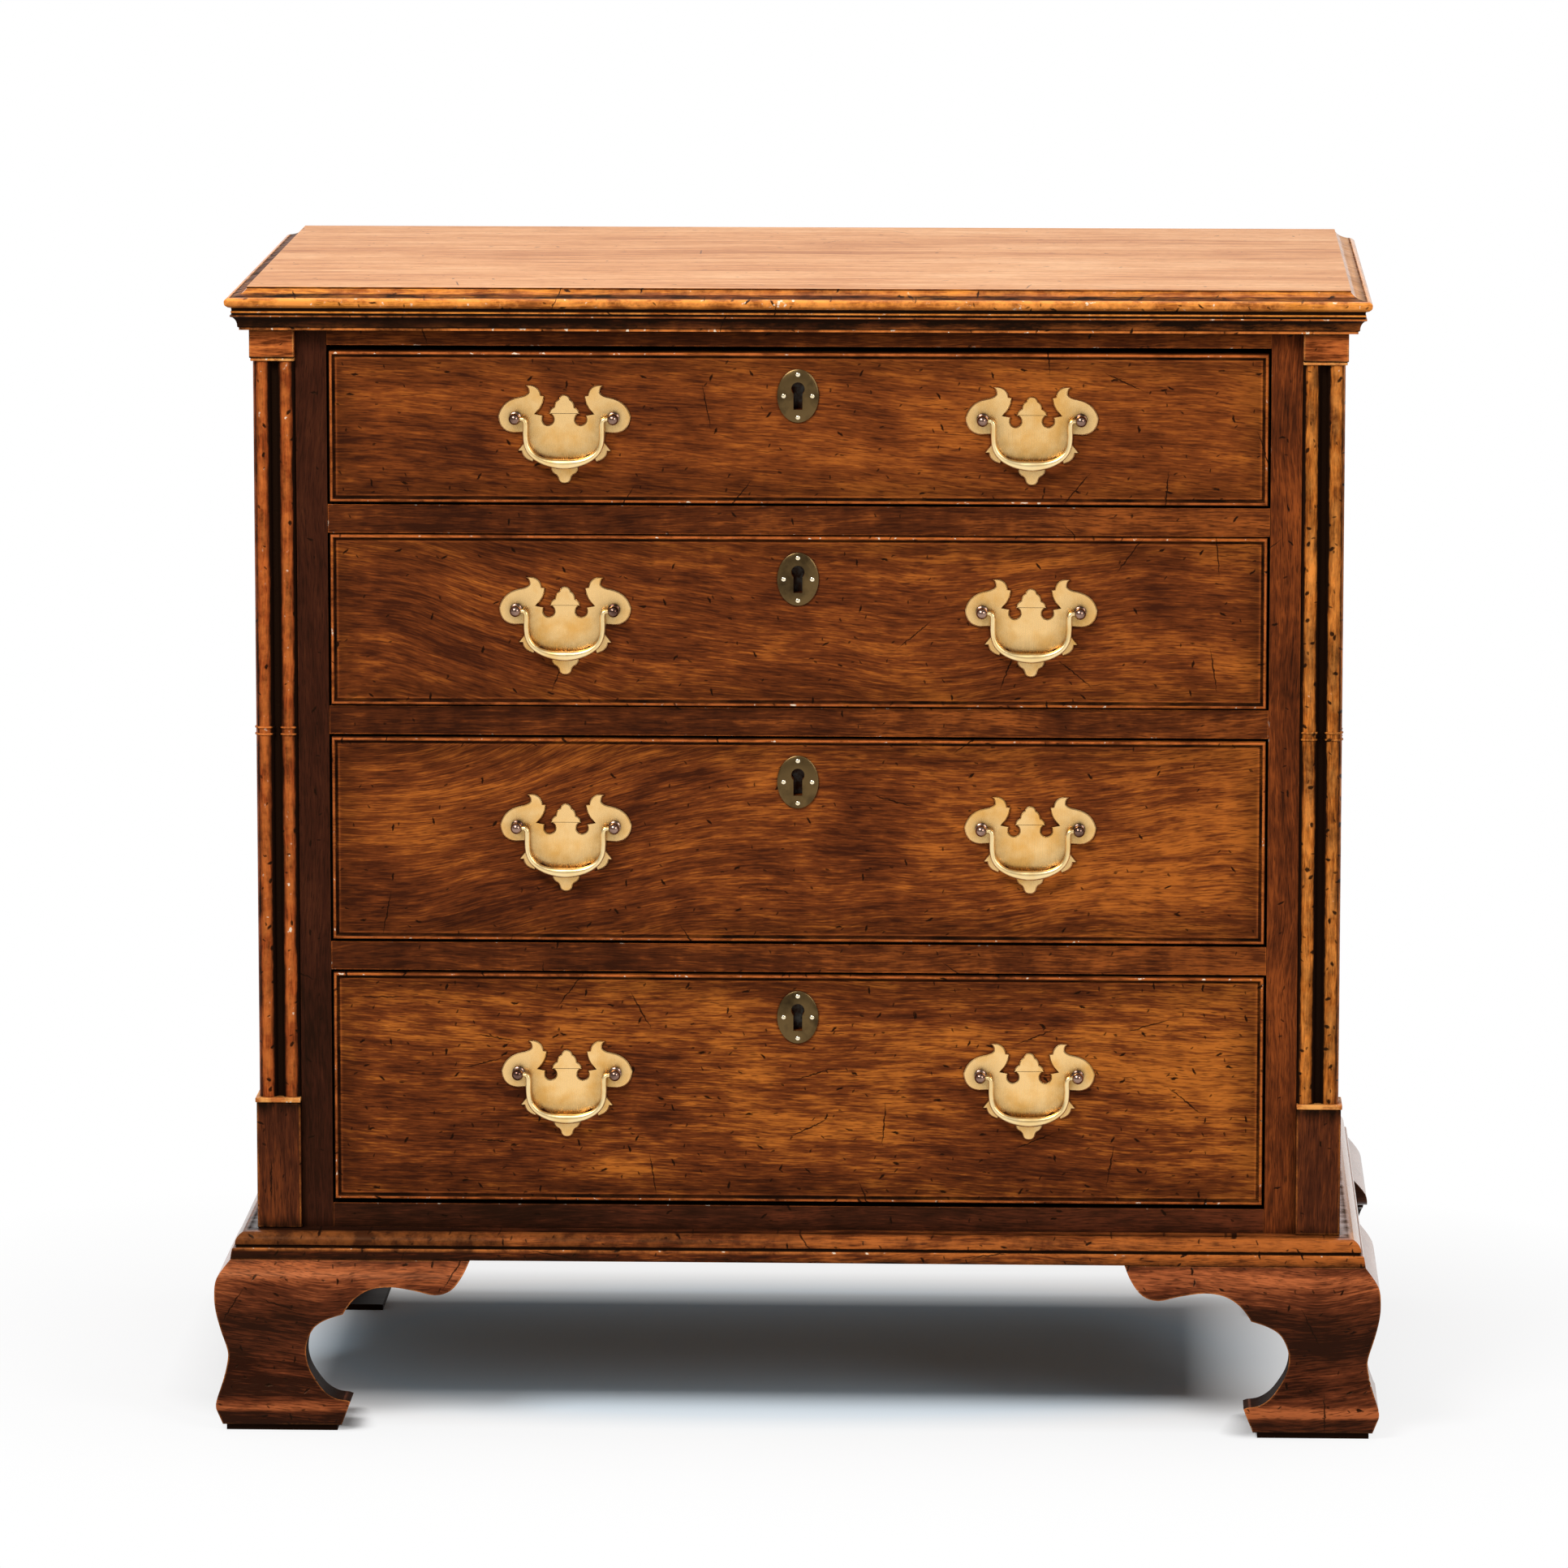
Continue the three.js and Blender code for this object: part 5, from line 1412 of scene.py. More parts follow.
@dataclass
class CornerColumn:
    """Cluster column of three lobes between a capital and a plinth block."""

    hand: Hand
    case: CaseSizes
    lobe: float = 13.0
    spacing: float = 17.0
    back: float = -183.1
    front: float = -213.1
    low: float = 239.5
    high: float = 771.8
    collar: float = 506.0
    collar_rise: float = 6.5
    bead_proud: float = 0.9
    lobe_steps: int = 14
    capital: Pair = (774.0, 794.4)
    capital_slab: float = 2.2
    plinth: Pair = (144.3, 236.0)
    plinth_slab: float = 3.5
    # how far each block stands out past the lobes
    capital_out: float = 2.0
    capital_slab_out: float = 1.2
    plinth_out: float = 1.7
    plinth_slab_out: float = 2.6
    foot_tenon: Pair = (124.8, 144.3)
    head_tenon: Pair = (794.4, 805.7)
    tenon_inset: float = 5.0
    # share of a block's height that the dark wax and painted shade at each of its ends reaches
    end_grime_and_shade_reach: float = 0.14
    # old wax all over the front of the right-hand cluster
    right_grime_and_shade: float = 0.38

    def section(self, extra: float) -> list[Pair]:
        """Outline of the cluster, with its lobes made larger by a little at the collar.

        Args:
            extra: Added to the radius of the lobes.

        Returns:
            Points round the outline, for the right-hand column.
        """
        r = self.lobe / 2
        corner = (self.case.case_half - r, self.front + r)
        inner = self.case.case_half - self.spacing - self.lobe
        lobes = [
            ((corner[0] - self.spacing, corner[1]), math.pi, 2 * math.pi),
            (corner, math.pi, 2.5 * math.pi),
            ((corner[0], corner[1] + self.spacing), -0.5 * math.pi, 0.5 * math.pi),
        ]
        points = [(inner, self.back)]
        for (x, y), first, last in lobes:
            count = self.lobe_steps * (3 if last - first > 1.2 * math.pi else 2)
            for k in range(count + 1):
                turn = first + (last - first) * k / count
                place = (x + (r + extra) * math.cos(turn), y + (r + extra) * math.sin(turn))
                points.append((max(place[0], inner), min(place[1], self.back)))
        return points

    def marks_at(self, x: float, y: float) -> Pair:
        """Dark wax and painted shade in the valleys and along the outer edge, and wear with painted highlight
        on the lobes.

        Args:
            x: Place of a point of the outline on X.
            y: Its place on Y.

        Returns:
            Dark wax with painted shade, and wear with painted highlight, of the point.
        """
        radius = self.lobe / 2
        deep = min(1.0, max(0.0, (y - self.front) / radius))
        side_deep = min(1.0, max(0.0, (self.case.case_half - x) / radius))
        hidden = min(deep, side_deep)
        rim = 0.5 * max(0.0, 1 - side_deep / 0.5) if 0.3 < deep < 1.0 else 0.0
        if self.hand is Hand.RIGHT and deep < 1.0:
            rim = self.right_grime_and_shade
        return max(rim, min(1.0, 2.5 * hidden**0.95)), 0.6 * (1 - hidden) ** 6

    def shaft(self, material: Material) -> None:
        """Builds the cluster with the double bead of its collar.

        Args:
            material: Finish of the cluster.
        """
        start = self.collar - self.collar_rise / 2
        bead = self.collar_rise / 4
        levels = [(self.low, 0.0), (start - 0.01, 0.0)]
        for first in (start, start + 3 * bead):
            for k in range(7):
                turn = math.pi * k / 6
                level = first + bead * (1 - math.cos(turn)) / 2
                levels.append((level, self.bead_proud * math.sin(turn) + 0.1))
        levels += [(start + self.collar_rise + 0.01, 0.0), (self.high, 0.0)]
        rings, marks = [], []
        for z, extra in levels:
            ring = self.section(extra)
            rings.append([Vector((self.hand.value * x, y, z)) for x, y in ring])
            row = [self.marks_at(x, y) for x, y in ring]
            # painted shade in the groove between the collar's beads, and painted highlight on the beads, with
            # wax and wear
            if start + bead < z < start + 3 * bead:
                row = [(1.0, worn) for _, worn in row]
            if extra > 0.5:
                row = [(grime_and_shade, 1.0) for grime_and_shade, _ in row]
            marks.append(row)
        node = self.hand.word + "_column"
        Shell().loft(rings, marks).piece(node + "_shaft", material, ROOT, "mahogany_column", replaces=node)

    def block(
        self, name: str, proud: float, z: Pair, material: Material, rounding: float,
        ends: Pair = (0.0, 0.0), worn: float = 0.0,
    ) -> None:
        """Builds a square block of the column.

        Args:
            name: Name of the piece.
            proud: How far it stands out past the lobes.
            z: Lowest and highest level.
            material: Finish of the block.
            rounding: Width of its rounded arrises.
            ends: Dark wax and painted shade at its lower and upper end.
            worn: Wear and painted highlight all over it.
        """
        inner = self.case.case_half - self.spacing - self.lobe
        outer, front = self.case.case_half + proud, self.front - proud
        corners = ((inner, front), (outer, front), (outer, self.back), (inner, self.back))
        levels = [(z[0], ends[0]), (z[1], ends[1])]
        if max(ends) > 0:
            reach = self.end_grime_and_shade_reach * (z[1] - z[0])
            levels[1:1] = [(z[0] + reach, 0.0), (z[1] - reach, 0.0)]
        rings = [[Vector((self.hand.value * x, y, level)) for x, y in corners] for level, _ in levels]
        marks = [[(grime_and_shade, worn)] * 4 for _, grime_and_shade in levels]
        name = f"{self.hand.word}_{name}"
        made = Shell().loft(rings, marks).piece(name, material, ROOT, "mahogany_column")
        soften(made, rounding)

    def build(self, wood: Material, block: Material, capital: Material) -> None:
        """Builds the shaft and its blocks.

        Args:
            wood: Finish of the cluster.
            block: Finish of the plinth and the tenons.
            capital: Finish of the capital and both slabs.
        """
        self.shaft(wood)
        # the ends of the capital and plinth are dark as wax and painted shade, the slabs bright as wear and
        # painted highlight
        self.block("capital", self.capital_out, self.capital, capital, 0.6, (1.0, 0.8))
        slab = (self.capital[0] - self.capital_slab, self.capital[0])
        self.block("capital_slab", self.capital_slab_out, slab, capital, 0.5, worn=1.0)
        self.block("plinth", self.plinth_out, self.plinth, block, 0.6, (0.6, 0.8))
        slab = (self.plinth[1], self.plinth[1] + self.plinth_slab)
        self.block("plinth_slab", self.plinth_slab_out, slab, capital, 0.7, worn=1.0)
        self.block("foot_tenon", -self.tenon_inset, self.foot_tenon, block, 0.2)
        self.block("head_tenon", -self.tenon_inset, self.head_tenon, block, 0.2)


@dataclass
class Carcass:
    """Sides, stiles, rails, dividers and boards of the case."""

    case: CaseSizes
    nodes: Nodes
    nail_rows: int = 4
    nail_shares: Pair = (0.18, 0.82)
    nail_inset: float = 4.5

    def nails(self, material: Material) -> None:
        """Drives nails through the back boards into the sides, two at each end of a board.

        Args:
            material: Finish of the nails.
        """
        low, high = box_mm("back_boards")
        rise = (high.z - low.z) / self.nail_rows
        shell = Shell()
        head = [(0.0, -1.2), (2.0, -1.2), (2.4, -0.5), (2.2, -0.15), (1.2, -0.05), (0.0, -0.02)]
        for row in range(self.nail_rows):
            for share in self.nail_shares:
                for side in (-1, 1):
                    z = low.z + (row + share) * rise
                    x = side * (high.x - self.nail_inset)
                    shell.turn(head, Vector((x, self.case.back, z)), Vector((0, 1, 0)), 10)
        shell.piece("back_board_nails", material, ROOT, "lock_iron")

    def build(self, iron: Material, inside: Material) -> None:
        """Dresses every board of the case and nails its back.

        Args:
            iron: Finish of the nails.
            inside: Finish of the bottom board.
        """
        nodes, side, rail = self.nodes, SIDE_WOOD.build(), RAIL_WOOD.build()
        for hand in Hand:
            dress(nodes[f"{hand.word}_side"], side)
            dress(nodes[f"{hand.word}_stile"], STILE_WOODS[hand].build())
        for node in ("top_rail", "divider_1", "divider_2", "divider_3"):
            dress(nodes[node], rail, 0.6)
        dress(nodes["bottom_rail"], BOTTOM_RAIL_WOOD.build(), 0.6)
        dress(nodes["bottom_board"], inside)
        dress(nodes["back_boards"], BACK_WOOD.build())
        self.nails(iron)


@dataclass
class Handle:
    """Swan-neck handle: cut backplate, two posts and the bail between them."""

    drawer: str
    hand: Hand
    z: float
    face: float
    x: float = 166.0
    unit: float = 47.0
    thickness: float = 1.6
    seam: float = 0.3
    bevel: float = 0.75
    # share of the room inside the outline that the bevel may take
    room_share: float = 0.4
    nut_depth: float = 20.3
    post: float = 34.9
    reach: float = 8.2
    head: float = 4.2
    arm_span: float = 54.4
    drop: float = 32.1
    arm: float = 3.8
    grip: float = 7.2
    grip_depth: float = 5.4
    pin: float = 3.0
    pin_end: float = 1.95

    @property
    def plate_node(self) -> str:
        """Name of the plate's node."""
        return f"{self.drawer}_{self.hand.word}_plate"

    def path(self) -> list[Pair]:
        """Outline of the plate's right half, from the tip of its finial to the foot of its pendant.

        Returns:
            Its points, from rows of a corner, or of a bend's middle and end, in shares of the unit.
        """
        top = 0.355
        finial = [(0.068, 0.351, 0.085, 0.281), (0.145, 0.255, 0.151, 0.168), (0.219, 0.14, 0.228, 0.066)]
        eye = (0.247, -0.021, 0.089, 1.78, 7.02)
        horn = [
            (0.443, 0.062), (0.32, 0.16, 0.302, 0.338), (0.357, 0.347),
            (0.372, 0.479, 0.513, 0.504), (0.596, 0.494), (0.528, 0.457, 0.536, 0.389),
            (0.564, 0.336, 0.681, 0.317), (0.947, 0.266, 1.0, 0.03), (0.989, -0.209, 0.766, -0.23),
            (0.62, -0.22), (0.606, -0.36), (0.709, -0.502), (0.649, -0.506), (0.634, -0.628, 0.477, -0.668),
            (0.44, -0.58), (0.36, -0.565), (0.287, -0.615), (0.19, -0.65), (0.204, -0.777),
            (0.187, -0.843, 0.132, -0.864), (0.098, -0.889, 0.091, -0.936), (0.072, -0.996, 0.0, -0.996),
        ]
        points: list[Pair] = [(0.0, top)]

        def draw(rows: Iterable[tuple[float, ...]]) -> None:
            """Adds straight edges and bends to the outline.

            Args:
                rows: Corners, or the middle and the end of a bend.
            """
            for row in rows:
                if len(row) == 2:
                    points.append((row[0], row[1]))
                    continue
                (x0, y0), (cx, cy, x1, y1) = points[-1], row
                for k in range(1, 8):
                    t = k / 7
                    first, middle, last = (1 - t) * (1 - t), 2 * (1 - t) * t, t * t
                    x = first * x0 + middle * cx + last * x1
                    y = first * y0 + middle * cy + last * y1
                    points.append((x, y))

        draw(finial)
        for k in range(21):
            turn = eye[3] + (eye[4] - eye[3]) * k / 20
            points.append((eye[0] + eye[2] * math.cos(turn), eye[1] + eye[2] * math.sin(turn)))
        draw(horn)
        return [(a * self.unit, b * self.unit) for a, b in points]

    def outline(self) -> list[Pair]:
        """Whole outline of the plate, running round its middle."""
        half = self.path()
        return [*half, *[(-a, b) for a, b in reversed(half[1:-1])]]

    def inset(self, outline: list[Pair], width: float) -> list[Pair]:
        """The outline drawn in by a width, or by less where the plate is narrow.

        Args:
            outline: Outline of the plate.
            width: Wanted distance.

        Returns:
            As many points, moved inwards.
        """
        count = len(outline)
        area = sum(
            outline[i][0] * outline[(i + 1) % count][1] - outline[(i + 1) % count][0] * outline[i][1]
            for i in range(count)
        )
        spin = math.copysign(1.0, area)
        moved: list[Pair] = []
        for i, (x, y) in enumerate(outline):
            (ax, ay), (bx, by) = outline[i - 1], outline[(i + 1) % count]
            one, two = math.hypot(x - ax, y - ay) or 1.0, math.hypot(bx - x, by - y) or 1.0
            tx, ty = (x - ax) / one + (bx - x) / two, (y - ay) / one + (by - y) / two
            size = math.hypot(tx, ty) or 1.0
            nx, ny = -ty / size * spin, tx / size * spin
            limit = width
            for j in range(count):
                if j in (i, (i - 1) % count):
                    continue
                (px, py), (qx, qy) = outline[j], outline[(j + 1) % count]
                ex, ey = qx - px, qy - py
                cross = nx * ey - ny * ex
                if abs(cross) < 1e-9:
                    continue
                far = ((px - x) * ey - (py - y) * ex) / cross
                share = ((px - x) * ny - (py - y) * nx) / cross
                if far > 1e-6 and -0.01 <= share <= 1.01:
                    limit = min(limit, self.room_share * far)
            moved.append((x + nx * limit, y + ny * limit))
        return moved

    def place(self, x: float, out: float, z: float) -> Vector:
        """Place of a point of the handle, given its distance out of the drawer's face."""
        return Vector((self.hand.value * self.x + x, self.face - out, self.z + z))

    def plate(self, brass: Material) -> None:
        """Builds the backplate with filed edges.

        Args:
            brass: Finish of the plate.
        """
        outline = self.outline()
        drawn_in = self.inset(outline, self.bevel)
        out = self.seam + self.thickness
        rings = [
            [self.place(a, self.seam, b) for a, b in outline],
            [self.place(a, out - self.bevel, b) for a, b in outline],
            [self.place(a, out, b) for a, b in drawn_in],
        ]
        node = self.plate_node
        Shell().loft(rings).piece(
            node + "_filed", brass, self.drawer, "brass_polished", replaces=node, smooth_under=24.0,
        )

    def posts(self, brass: Material) -> None:
        """Builds the two turned posts, and their nuts behind the drawer front.

        Args:
            brass: Finish of the posts.
        """
        base, r = self.seam + self.thickness, self.head
        turns = [math.pi * k / 12 for k in range(2, 13)]
        ball = [(r * math.sin(turn), self.reach - r * math.cos(turn)) for turn in turns]
        foot = [(0.0, 0.0), (4.3, 0.0), (4.4, 0.5), (3.9, 0.9), (2.9, 1.2), (2.4, 2.0), (2.3, 3.2)]
        shell = Shell()
        nut = [(0.0, 0.0), (5.2, 0.0), (5.5, 0.4), (5.5, 3.6), (5.2, 4.0), (0.0, 4.0)]
        for side in (-1, 1):
            shell.turn([*foot, *ball], self.place(side * self.post, base, 0), Vector((0, -1, 0)), 28)
            shell.turn(nut, self.place(side * self.post, -self.nut_depth, 0), Vector((0, 1, 0)), 6)
        shell.piece(self.plate_node + "_posts", brass, self.drawer, "brass_polished")

    def bail(self, brass: Material) -> None:
        """Builds the bail as one swelling bar bent through its stations.

        Args:
            brass: Finish of the bail.
        """
        arm = self.arm_span / 2
        bends = [(1, -0.09), (1, -0.36), (0.965, -0.58), (0.855, -0.755), (0.645, -0.89), (0.355, -0.972)]
        swells = [0, 0, 0.03, 0.09, 0.25, 0.62]
        half: list[tuple[float, ...]] = [
            (self.post + self.pin_end, 0.0, self.pin, self.pin),
            (arm + 3.2, 0.0, self.pin, self.pin),
            (arm + 1.2, -0.5, self.arm - 0.3, self.arm - 0.3),
        ]
        for (a, b), swell in zip(bends, swells):
            width = self.arm + swell * (self.grip - self.arm)
            depth = self.arm + swell * (self.grip_depth - self.arm)
            half.append((a * arm, b * self.drop, width, depth))
        stations = [*half, (0.0, -self.drop, self.grip, self.grip_depth)]
        stations += [(-s[0], *s[1:]) for s in reversed(half)]
        run = spline(stations, 5)
        rings = []
        for i, (x, z, width, depth) in enumerate(run):
            before, after = run[max(i - 1, 0)], run[min(i + 1, len(run) - 1)]
            dx, dz = after[0] - before[0], after[1] - before[1]
            size = math.hypot(dx, dz) or 1.0
            dx, dz = dx / size, dz / size
            ring = []
            for k in range(16):
                turn = 2 * math.pi * (k + 0.5) / 16
                across = width / 2 * math.cos(turn)
                out = self.seam + self.thickness + self.reach + depth / 2 * math.sin(turn)
                ring.append(self.place(x - dz * across, out, z + dx * across))
            rings.append(ring)
        node = f"{self.drawer}_{self.hand.word}_bail"
        body = f"{self.drawer}_{self.hand.word}_handle"
        Shell().loft(rings).piece(
            node + "_bent", brass, body, "brass_polished", replaces=node, smooth_under=50.0,
        )

    def build(self, metals: dict[str, Material]) -> None:
        """Builds plate, posts and bail of one handle.

        Args:
            metals: Finishes by their short names.
        """
        self.plate(metals["bright"])
        self.posts(metals["post"])
        self.bail(metals["rubbed"])


@dataclass
class Escutcheon:
    """Oval escutcheon with its keyhole and four nails."""

    z: float
    face: float
    half_width: float = 14.75
    half_height: float = 19.0
    thickness: float = 1.4
    seam: float = 0.3
    keyhole: float = 9.6
    slot_width: float = 6.4
    slot_height: float = 19.6
    nail: float = 1.6
    nail_up: float = 15.3
    nail_aside: float = 10.2
    bevel: float = 0.9
    bevel_depth: float = 0.5

    def ellipse(self, inset: float) -> list[Pair]:
        """Outline of the plate.

        Args:
            inset: How far it is drawn in.

        Returns:
            Its points.
        """
        a, b = self.half_width - inset, self.half_height - inset
        turns = [2 * math.pi * k / 48 for k in range(48)]
        return [(a * math.cos(turn), b * math.sin(turn)) for turn in turns]

    def hole(self) -> list[Pair]:
        """Outline of the keyhole: a round hole over a slot.

        Returns:
            Its points, in the same turn as the oval's.
        """
        r, half = self.keyhole / 2, self.slot_width / 2
        high, low = self.slot_height / 2 - r, -self.slot_height / 2
        lean = math.asin(half / r)
        first, last = lean - math.pi / 2, 1.5 * math.pi - lean
        turns = [first + (last - first) * k / 16 for k in range(17)]
        return [(-half, low), (half, low), *[(r * math.cos(t), high + r * math.sin(t)) for t in turns]]

    def build(self, drawer: str, brass: Material, nail: Material) -> None:
        """Builds the plate, cut through for the key, and its nails.

        Args:
            drawer: Name of the drawer.
            brass: Finish of the plate.
            nail: Finish of the nails.
        """
        out = self.seam + self.thickness
        levels = [
            (self.ellipse(0), self.seam), (self.ellipse(0), out - self.bevel_depth),
            (self.ellipse(self.bevel), out),
        ]
        holes = [(self.hole(), out), (self.hole(), self.seam)]
        made = bmesh.new()
        rims: list[list[bmesh.types.BMVert]] = []
        for loop, level in [*levels, *holes]:
            rims.append([made.verts.new(Vector((x, self.face - level, self.z + z)) * MM) for x, z in loop])
        for first, second in ((0, 1), (1, 2), (3, 4)):
            one, two = rims[first], rims[second]
            for j in range(len(one)):
                k = (j + 1) % len(one)
                made.faces.new((one[j], one[k], two[k], two[j]))
        for outer, inner in ((2, 3), (0, 4)):
            edges = []
            for rim in (rims[outer], rims[inner]):
                for j, vert in enumerate(rim):
                    edge = made.edges.get((vert, rim[(j + 1) % len(rim)]))
                    edges.append(edge or made.edges.new((vert, rim[(j + 1) % len(rim)])))
            bmesh.ops.triangle_fill(made, use_beauty=True, edges=edges)
        bmesh.ops.recalc_face_normals(made, faces=made.faces)
        mesh = bpy.data.meshes.new(drawer + "_escutcheon_cut")
        made.to_mesh(mesh)
        made.free()
        finish_piece(mesh, mesh.name, brass, drawer, drawer + "_escutcheon", 30.0)
        r = self.nail
        dome = [(0.0, -0.3), (r, -0.3), (r, 0.05), (0.8 * r, 0.35), (0.45 * r, 0.55), (0.0, 0.62)]
        shell = Shell()
        for x, z in ((0, self.nail_up), (0, -self.nail_up), (-self.nail_aside, 0), (self.nail_aside, 0)):
            shell.turn(dome, Vector((x, self.face - out, self.z + z)), Vector((0, -1, 0)), 16)
        shell.piece(drawer + "_escutcheon_nails", nail, drawer, "brass_polished")


@dataclass
class Drawer:
    """One drawer with its front, box, lock, escutcheon and handles."""

    name: str
    wood: Mahogany
    nodes: Nodes
    pivot: float
    face: float = -209.0
    # lock screws, in from the sides and the foot of the lock and down from its top
    screw_inset: float = 6.0
    screw_drop: float = 9.0

    @property
    def keyhole(self) -> float:
        """Level of the escutcheon's middle."""
        low, high = box_mm(self.name + "_escutcheon")
        return round((low.z + high.z) / 2, 2)

    def screws(self, iron: Material) -> None:
        """Fixes the lock case to the back of the front by four screws.

        Args:
            iron: Finish of the screws.
        """
        low, high = box_mm(self.name + "_lock")
        head = [(0.0, -0.6), (2.6, -0.6), (2.9, 0.1), (2.4, 0.5), (0.0, 0.6)]
        shell = Shell()
        for x in (low.x + self.screw_inset, high.x - self.screw_inset):
            for z in (low.z + self.screw_inset, high.z - self.screw_drop):
                shell.turn(head, Vector((x, high.y, z)), Vector((0, 1, 0)), 16)
        shell.piece(self.name + "_lock_screws", iron, self.name, "lock_iron")

    def build(self, metals: dict[str, Material], inside: Material) -> None:
        """Dresses the boards and the lock, and builds the brass.

        Args:
            metals: Finishes by their short names.
            inside: Finish of the box and its bottom.
        """
        for part, material, width_mm in (
            ("front", self.wood.build(), 0.35), ("box", inside, 0.5), ("bottom", inside, 0.3),
            ("lock", metals["iron"], 0.3), ("lock_bolt", metals["dark"], 0.3),
        ):
            dress(self.nodes[f"{self.name}_{part}"], material, width_mm)
        self.screws(metals["iron"])
        Escutcheon(self.keyhole, self.face).build(self.name, metals["dark"], metals["pin"])
        for hand in Hand:
            Handle(self.name, hand, self.pivot, self.face).build(metals)


def front_wood(number: int, **changes: str | float | tuple[Push, ...]) -> Mahogany:
    """Show wood of a drawer front, with its own figure.

    Args:
        number: Number of the drawer, from the top one down.
        **changes: Fields of the finish that are this drawer's own.

    Returns:
        The finish.
    """
    low, high = box_mm(f"drawer_{number}_front")
    common = {
        "name": f"figured_mahogany_front_{number}", "dark": "401c0e", "mid": "763918", "light": "ba6626",
        "dents": 0.5, "fade": 0.05, "edge_shade": 0.45, "arris": 0.3, "worn": "cc6e34", "specular": 0.1,
        "box_mm": (low.x, high.x, low.z, high.z), "seed": 43.0 + 2 * number,
    }
    return Mahogany(**{**common, **changes})


@dataclass(frozen=True)
class Shade:
    """Stretch of floor that keeps the chest's shadow; it turns to plain white round it."""

    middle: Pair
    half: Pair
    white_at: float


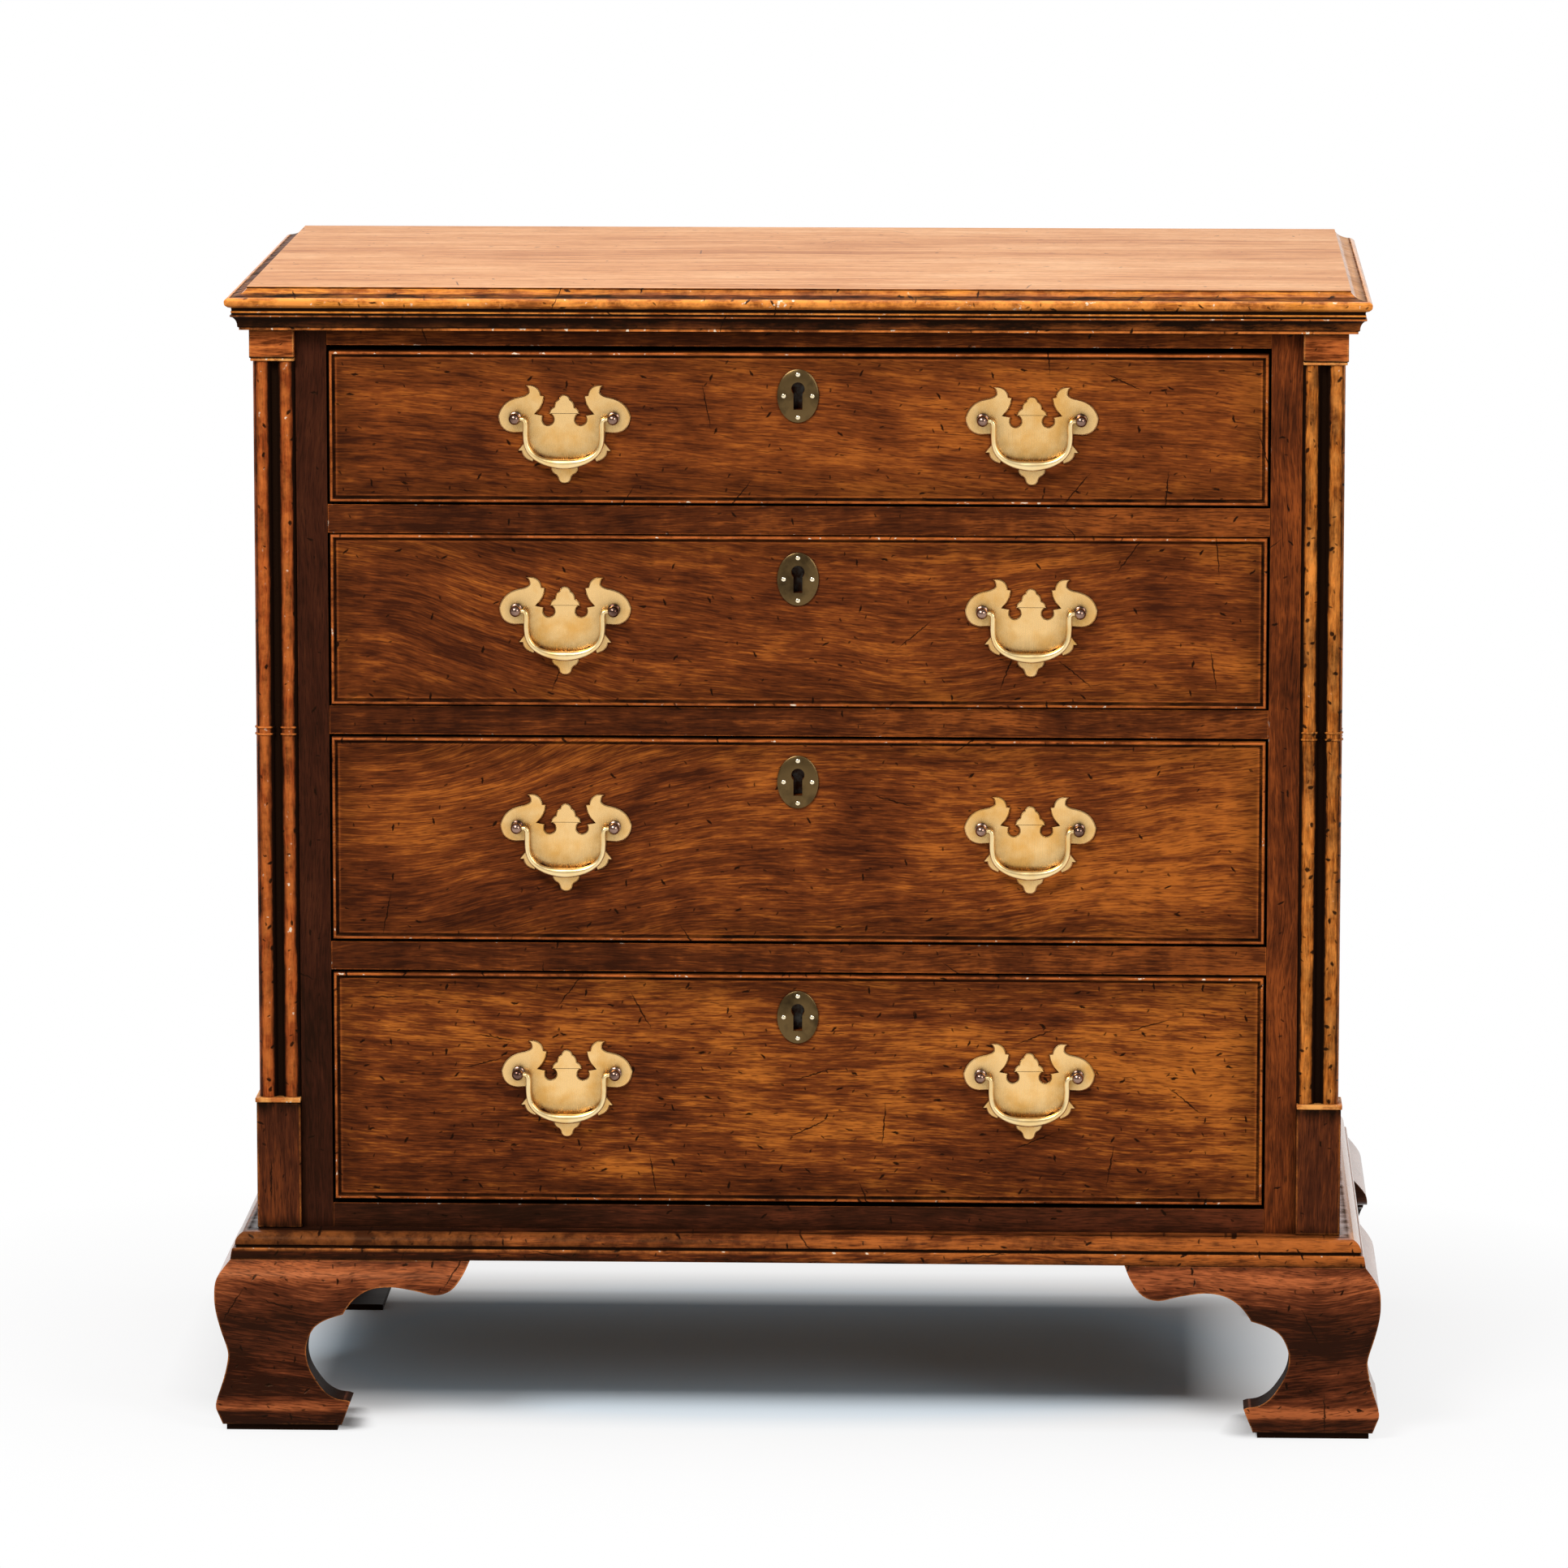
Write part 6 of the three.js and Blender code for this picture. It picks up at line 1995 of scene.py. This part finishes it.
@dataclass
class Studio:
    """Camera, lamps, floor and white surround."""

    place: tuple[float, float, float] = (0.2159, -6.3936, 1.4533)
    yaw: float = -0.0365
    pitch: float = 0.1577
    lens_share: float = 5.5952
    sensor: float = 36.0
    surround: float = 0.22
    room: float = 0.25
    bounce: float = 0.45
    floor_size: float = 30.0
    # the wood throws brown light under the chest's middle, which cooler paint takes out
    core_middle: Pair = (-0.02, 0.03)
    core_half: Pair = (0.4, 0.26)
    cool: tuple[float, float, float, float] = (0.65, 0.83, 0.98, 1.0)
    shades: tuple[Shade, ...] = (
        Shade((-0.035, 0.045), (0.315, 0.145), 0.5),
        Shade((-0.345, -0.195), (0.02, 0.025), 0.09),
        Shade((0.345, -0.195), (0.02, 0.025), 0.09),
    )

    def camera(self) -> None:
        """Sets the camera at the photograph's angle."""
        data = bpy.data.cameras.new("camera")
        data.sensor_width = self.sensor
        data.lens = self.lens_share * self.sensor
        made = bpy.data.objects.new("camera", data)
        made.location = self.place
        made.rotation_euler = (math.pi / 2 - self.pitch, 0.0, -self.yaw)
        bpy.context.scene.collection.objects.link(made)
        bpy.context.scene.camera = made

    def lamp(self, name: str, place: Vector, aim: Vector, size: Pair, power: float) -> None:
        """Hangs one soft box.

        Args:
            name: Name of the lamp.
            place: Where it hangs.
            aim: What it points at.
            size: Width and height.
            power: Power in watts.
        """
        data = bpy.data.lights.new(name, "AREA")
        data.shape, data.size, data.size_y, data.energy = "RECTANGLE", size[0], size[1], power
        made = bpy.data.objects.new(name, data)
        made.location = place
        made.rotation_euler = (aim - place).to_track_quat("-Z", "Y").to_euler()
        bpy.context.scene.collection.objects.link(made)

    def lamps(self) -> None:
        """Hangs a key box, a fill box and a long box over the back."""
        chest = Vector((0.0, 0.0, 0.45))
        self.lamp("key_box", Vector((-1.3, -2.4, 2.9)), chest, (1.4, 1.0), 92.0)
        self.lamp("fill_box", Vector((2.3, -2.6, 1.9)), chest, (1.2, 1.4), 36.0)
        self.lamp("top_box", Vector((0.0, 0.2, 2.7)), chest, (2.0, 0.8), 22.0)

    def world(self) -> None:
        """Makes the surround: a white backdrop behind the chest and a dim room before it."""
        world = bpy.data.worlds.new("surround")
        bpy.context.scene.world = world
        world.use_nodes = True
        tree = world.node_tree
        tree.nodes.clear()
        glossy = put(tree, "LightPath", output="Is Glossy Ray")
        through = put(tree, "LightPath", output="Is Transmission Ray")
        mirrored = put(tree, "Math", {0: glossy, 1: through}, operation="MAXIMUM")
        depth = put(tree, "SeparateXYZ", {0: put(tree, "TexCoord", output="Generated")}, output=1)
        room = put(tree, "MapRange", {0: depth, 1: -0.3, 2: 0.3, 3: self.room, 4: 1.0})
        soft = put(tree, "Background", {0: WHITE, 1: self.surround})
        shown = put(tree, "Background", {0: WHITE, 1: room})
        backdrop = put(tree, "Background", {0: WHITE, 1: 1.0})
        lit = put(tree, "MixShader", {0: mirrored, 1: soft, 2: shown})
        seen = put(tree, "LightPath", output="Is Camera Ray")
        put(tree, "OutputWorld", {0: put(tree, "MixShader", {0: seen, 1: lit, 2: backdrop})})

    def floor(self) -> None:
        """Lays the pale floor, which keeps the chest's shadow."""
        mesh = bpy.data.meshes.new("floor")
        size = self.floor_size
        corners = [(-size, -size, 0), (size, -size, 0), (size, size, 0), (-size, size, 0)]
        mesh.from_pydata(corners, [], [(0, 1, 2, 3)])
        material, tree = new_material("matt_white_floor")
        place = put(tree, "TexCoord", output="Object")
        seen = put(tree, "LightPath", output="Is Camera Ray")
        speck = put(tree, "TexNoise", {"Vector": place, "Scale": 40.0, "Detail": 3.0})
        pale = put(tree, "ValToRGB", {0: speck}, stops=[(0.0, 0.93), (1.0, 0.96)])
        dull = (self.bounce, self.bounce, self.bounce, 1.0)
        far: Value = 1.0
        for shade in self.shades:
            off = put(tree, "VectorMath", {0: place, 1: (*shade.middle, 0.0)}, operation="SUBTRACT")
            off = put(tree, "VectorMath", {0: off}, operation="ABSOLUTE")
            off = put(tree, "VectorMath", {0: off, 1: (*shade.half, 0.0)}, operation="SUBTRACT")
            off = put(tree, "VectorMath", {0: off, 1: (0.0, 0.0, 0.0)}, operation="MAXIMUM")
            reach = put(tree, "VectorMath", {0: off}, "Value", operation="LENGTH")
            reach = put(tree, "Math", {0: reach, 1: 1 / shade.white_at}, operation="MULTIPLY")
            far = put(tree, "Math", {0: far, 1: reach}, operation="MINIMUM")
        far = put(tree, "ValToRGB", {0: far}, stops=[(0.0, 0.0), (0.1, 0.3), (0.25, 0.8), (0.9, 1.0)])
        wide, deep = self.core_half
        core = put(tree, "VectorMath", {0: place, 1: (*self.core_middle, 0.0)}, operation="SUBTRACT")
        core = put(tree, "VectorMath", {0: core, 1: (1 / wide, 1 / deep, 0.0)}, operation="MULTIPLY")
        core = put(tree, "VectorMath", {0: core}, "Value", operation="LENGTH")
        core = put(tree, "MapRange", {0: core, 1: 0.82, 2: 1.06})
        pale = put(tree, "Mix", {0: core, 6: self.cool, 7: pale}, 2, data_type="RGBA")
        colour = put(tree, "Mix", {0: seen, 6: dull, 7: pale}, 2, data_type="RGBA")
        matt = put(tree, "BsdfDiffuse", {0: colour})
        white = put(tree, "Emission", {0: WHITE, 1: 1.0})
        mirrored = put(tree, "LightPath", output="Is Glossy Ray")
        direct = put(tree, "Math", {0: seen, 1: mirrored}, operation="MAXIMUM")
        shown = put(tree, "Math", {0: direct, 1: far}, operation="MULTIPLY")
        put(tree, "OutputMaterial", {0: put(tree, "MixShader", {0: shown, 1: matt, 2: white})})
        mesh.materials.append(material)
        made = bpy.data.objects.new("floor", mesh)
        bpy.context.scene.collection.objects.link(made)

    def build(self) -> None:
        """Sets up the whole studio."""
        self.camera()
        self.lamps()
        self.world()
        self.floor()
        bpy.context.scene.view_settings.view_transform = "Standard"


def main() -> None:
    """Builds the studio and every sub-assembly, in order."""
    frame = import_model()
    nodes = frame["nodes"]
    pivots = {joint["name"]: joint["pos_m"][2] / MM for joint in frame["joints"] if "pos_m" in joint}
    Studio().build()
    case = CaseSizes()
    moulding, block = MOULDING_WOOD.build(), BLOCK_WOOD.build()
    capital, foot = CAPITAL_WOOD.build(), FOOT_WOOD.build()
    metals = {
        "bright": BRIGHT_BRASS.build(), "dark": DARK_BRASS.build(), "pin": PIN_BRASS.build(),
        "post": POST_BRASS.build(), "iron": LOCK_IRON.build(), "rubbed": BAIL_BRASS.build(),
    }
    TopAssembly(case).build(moulding)
    BaseAssembly(case).build(moulding, foot)
    for hand in Hand:
        CornerColumn(hand, case).build(COLUMN_WOODS[hand].build(), block, capital)
    inside = INSIDE_WOOD.build()
    Carcass(case, nodes).build(metals["iron"], inside)
    woods = [
        front_wood(1, wave_mm=2.5, dents=0.7, lean=0.07, contrast=0.9, mid="7e3e19"),
        front_wood(2, wave_mm=5.0, pushes=(Push(-350, 600, 170, 130, -58), Push(60, 570, 120, 60, 12))),
        front_wood(
            3, wave_mm=6.0, lean=-0.04, contrast=1.1,
            pushes=(Push(-300, 506, 150, 74, 96), Push(-340, 360, 190, 60, 26)),
        ),
        front_wood(4, band_mm=11.0, wave_mm=3.5, dents=1.0, contrast=1.15, lean=0.03, light="c06c28"),
    ]
    for number, wood in enumerate(woods, 1):
        name = f"drawer_{number}"
        pivot = round(pivots[name + "_left_bail_swing"], 2)
        Drawer(name, wood, nodes, pivot).build(metals, inside)


if __name__ == "__main__":
    logging.basicConfig(level=logging.INFO, format="%(message)s")
    main()
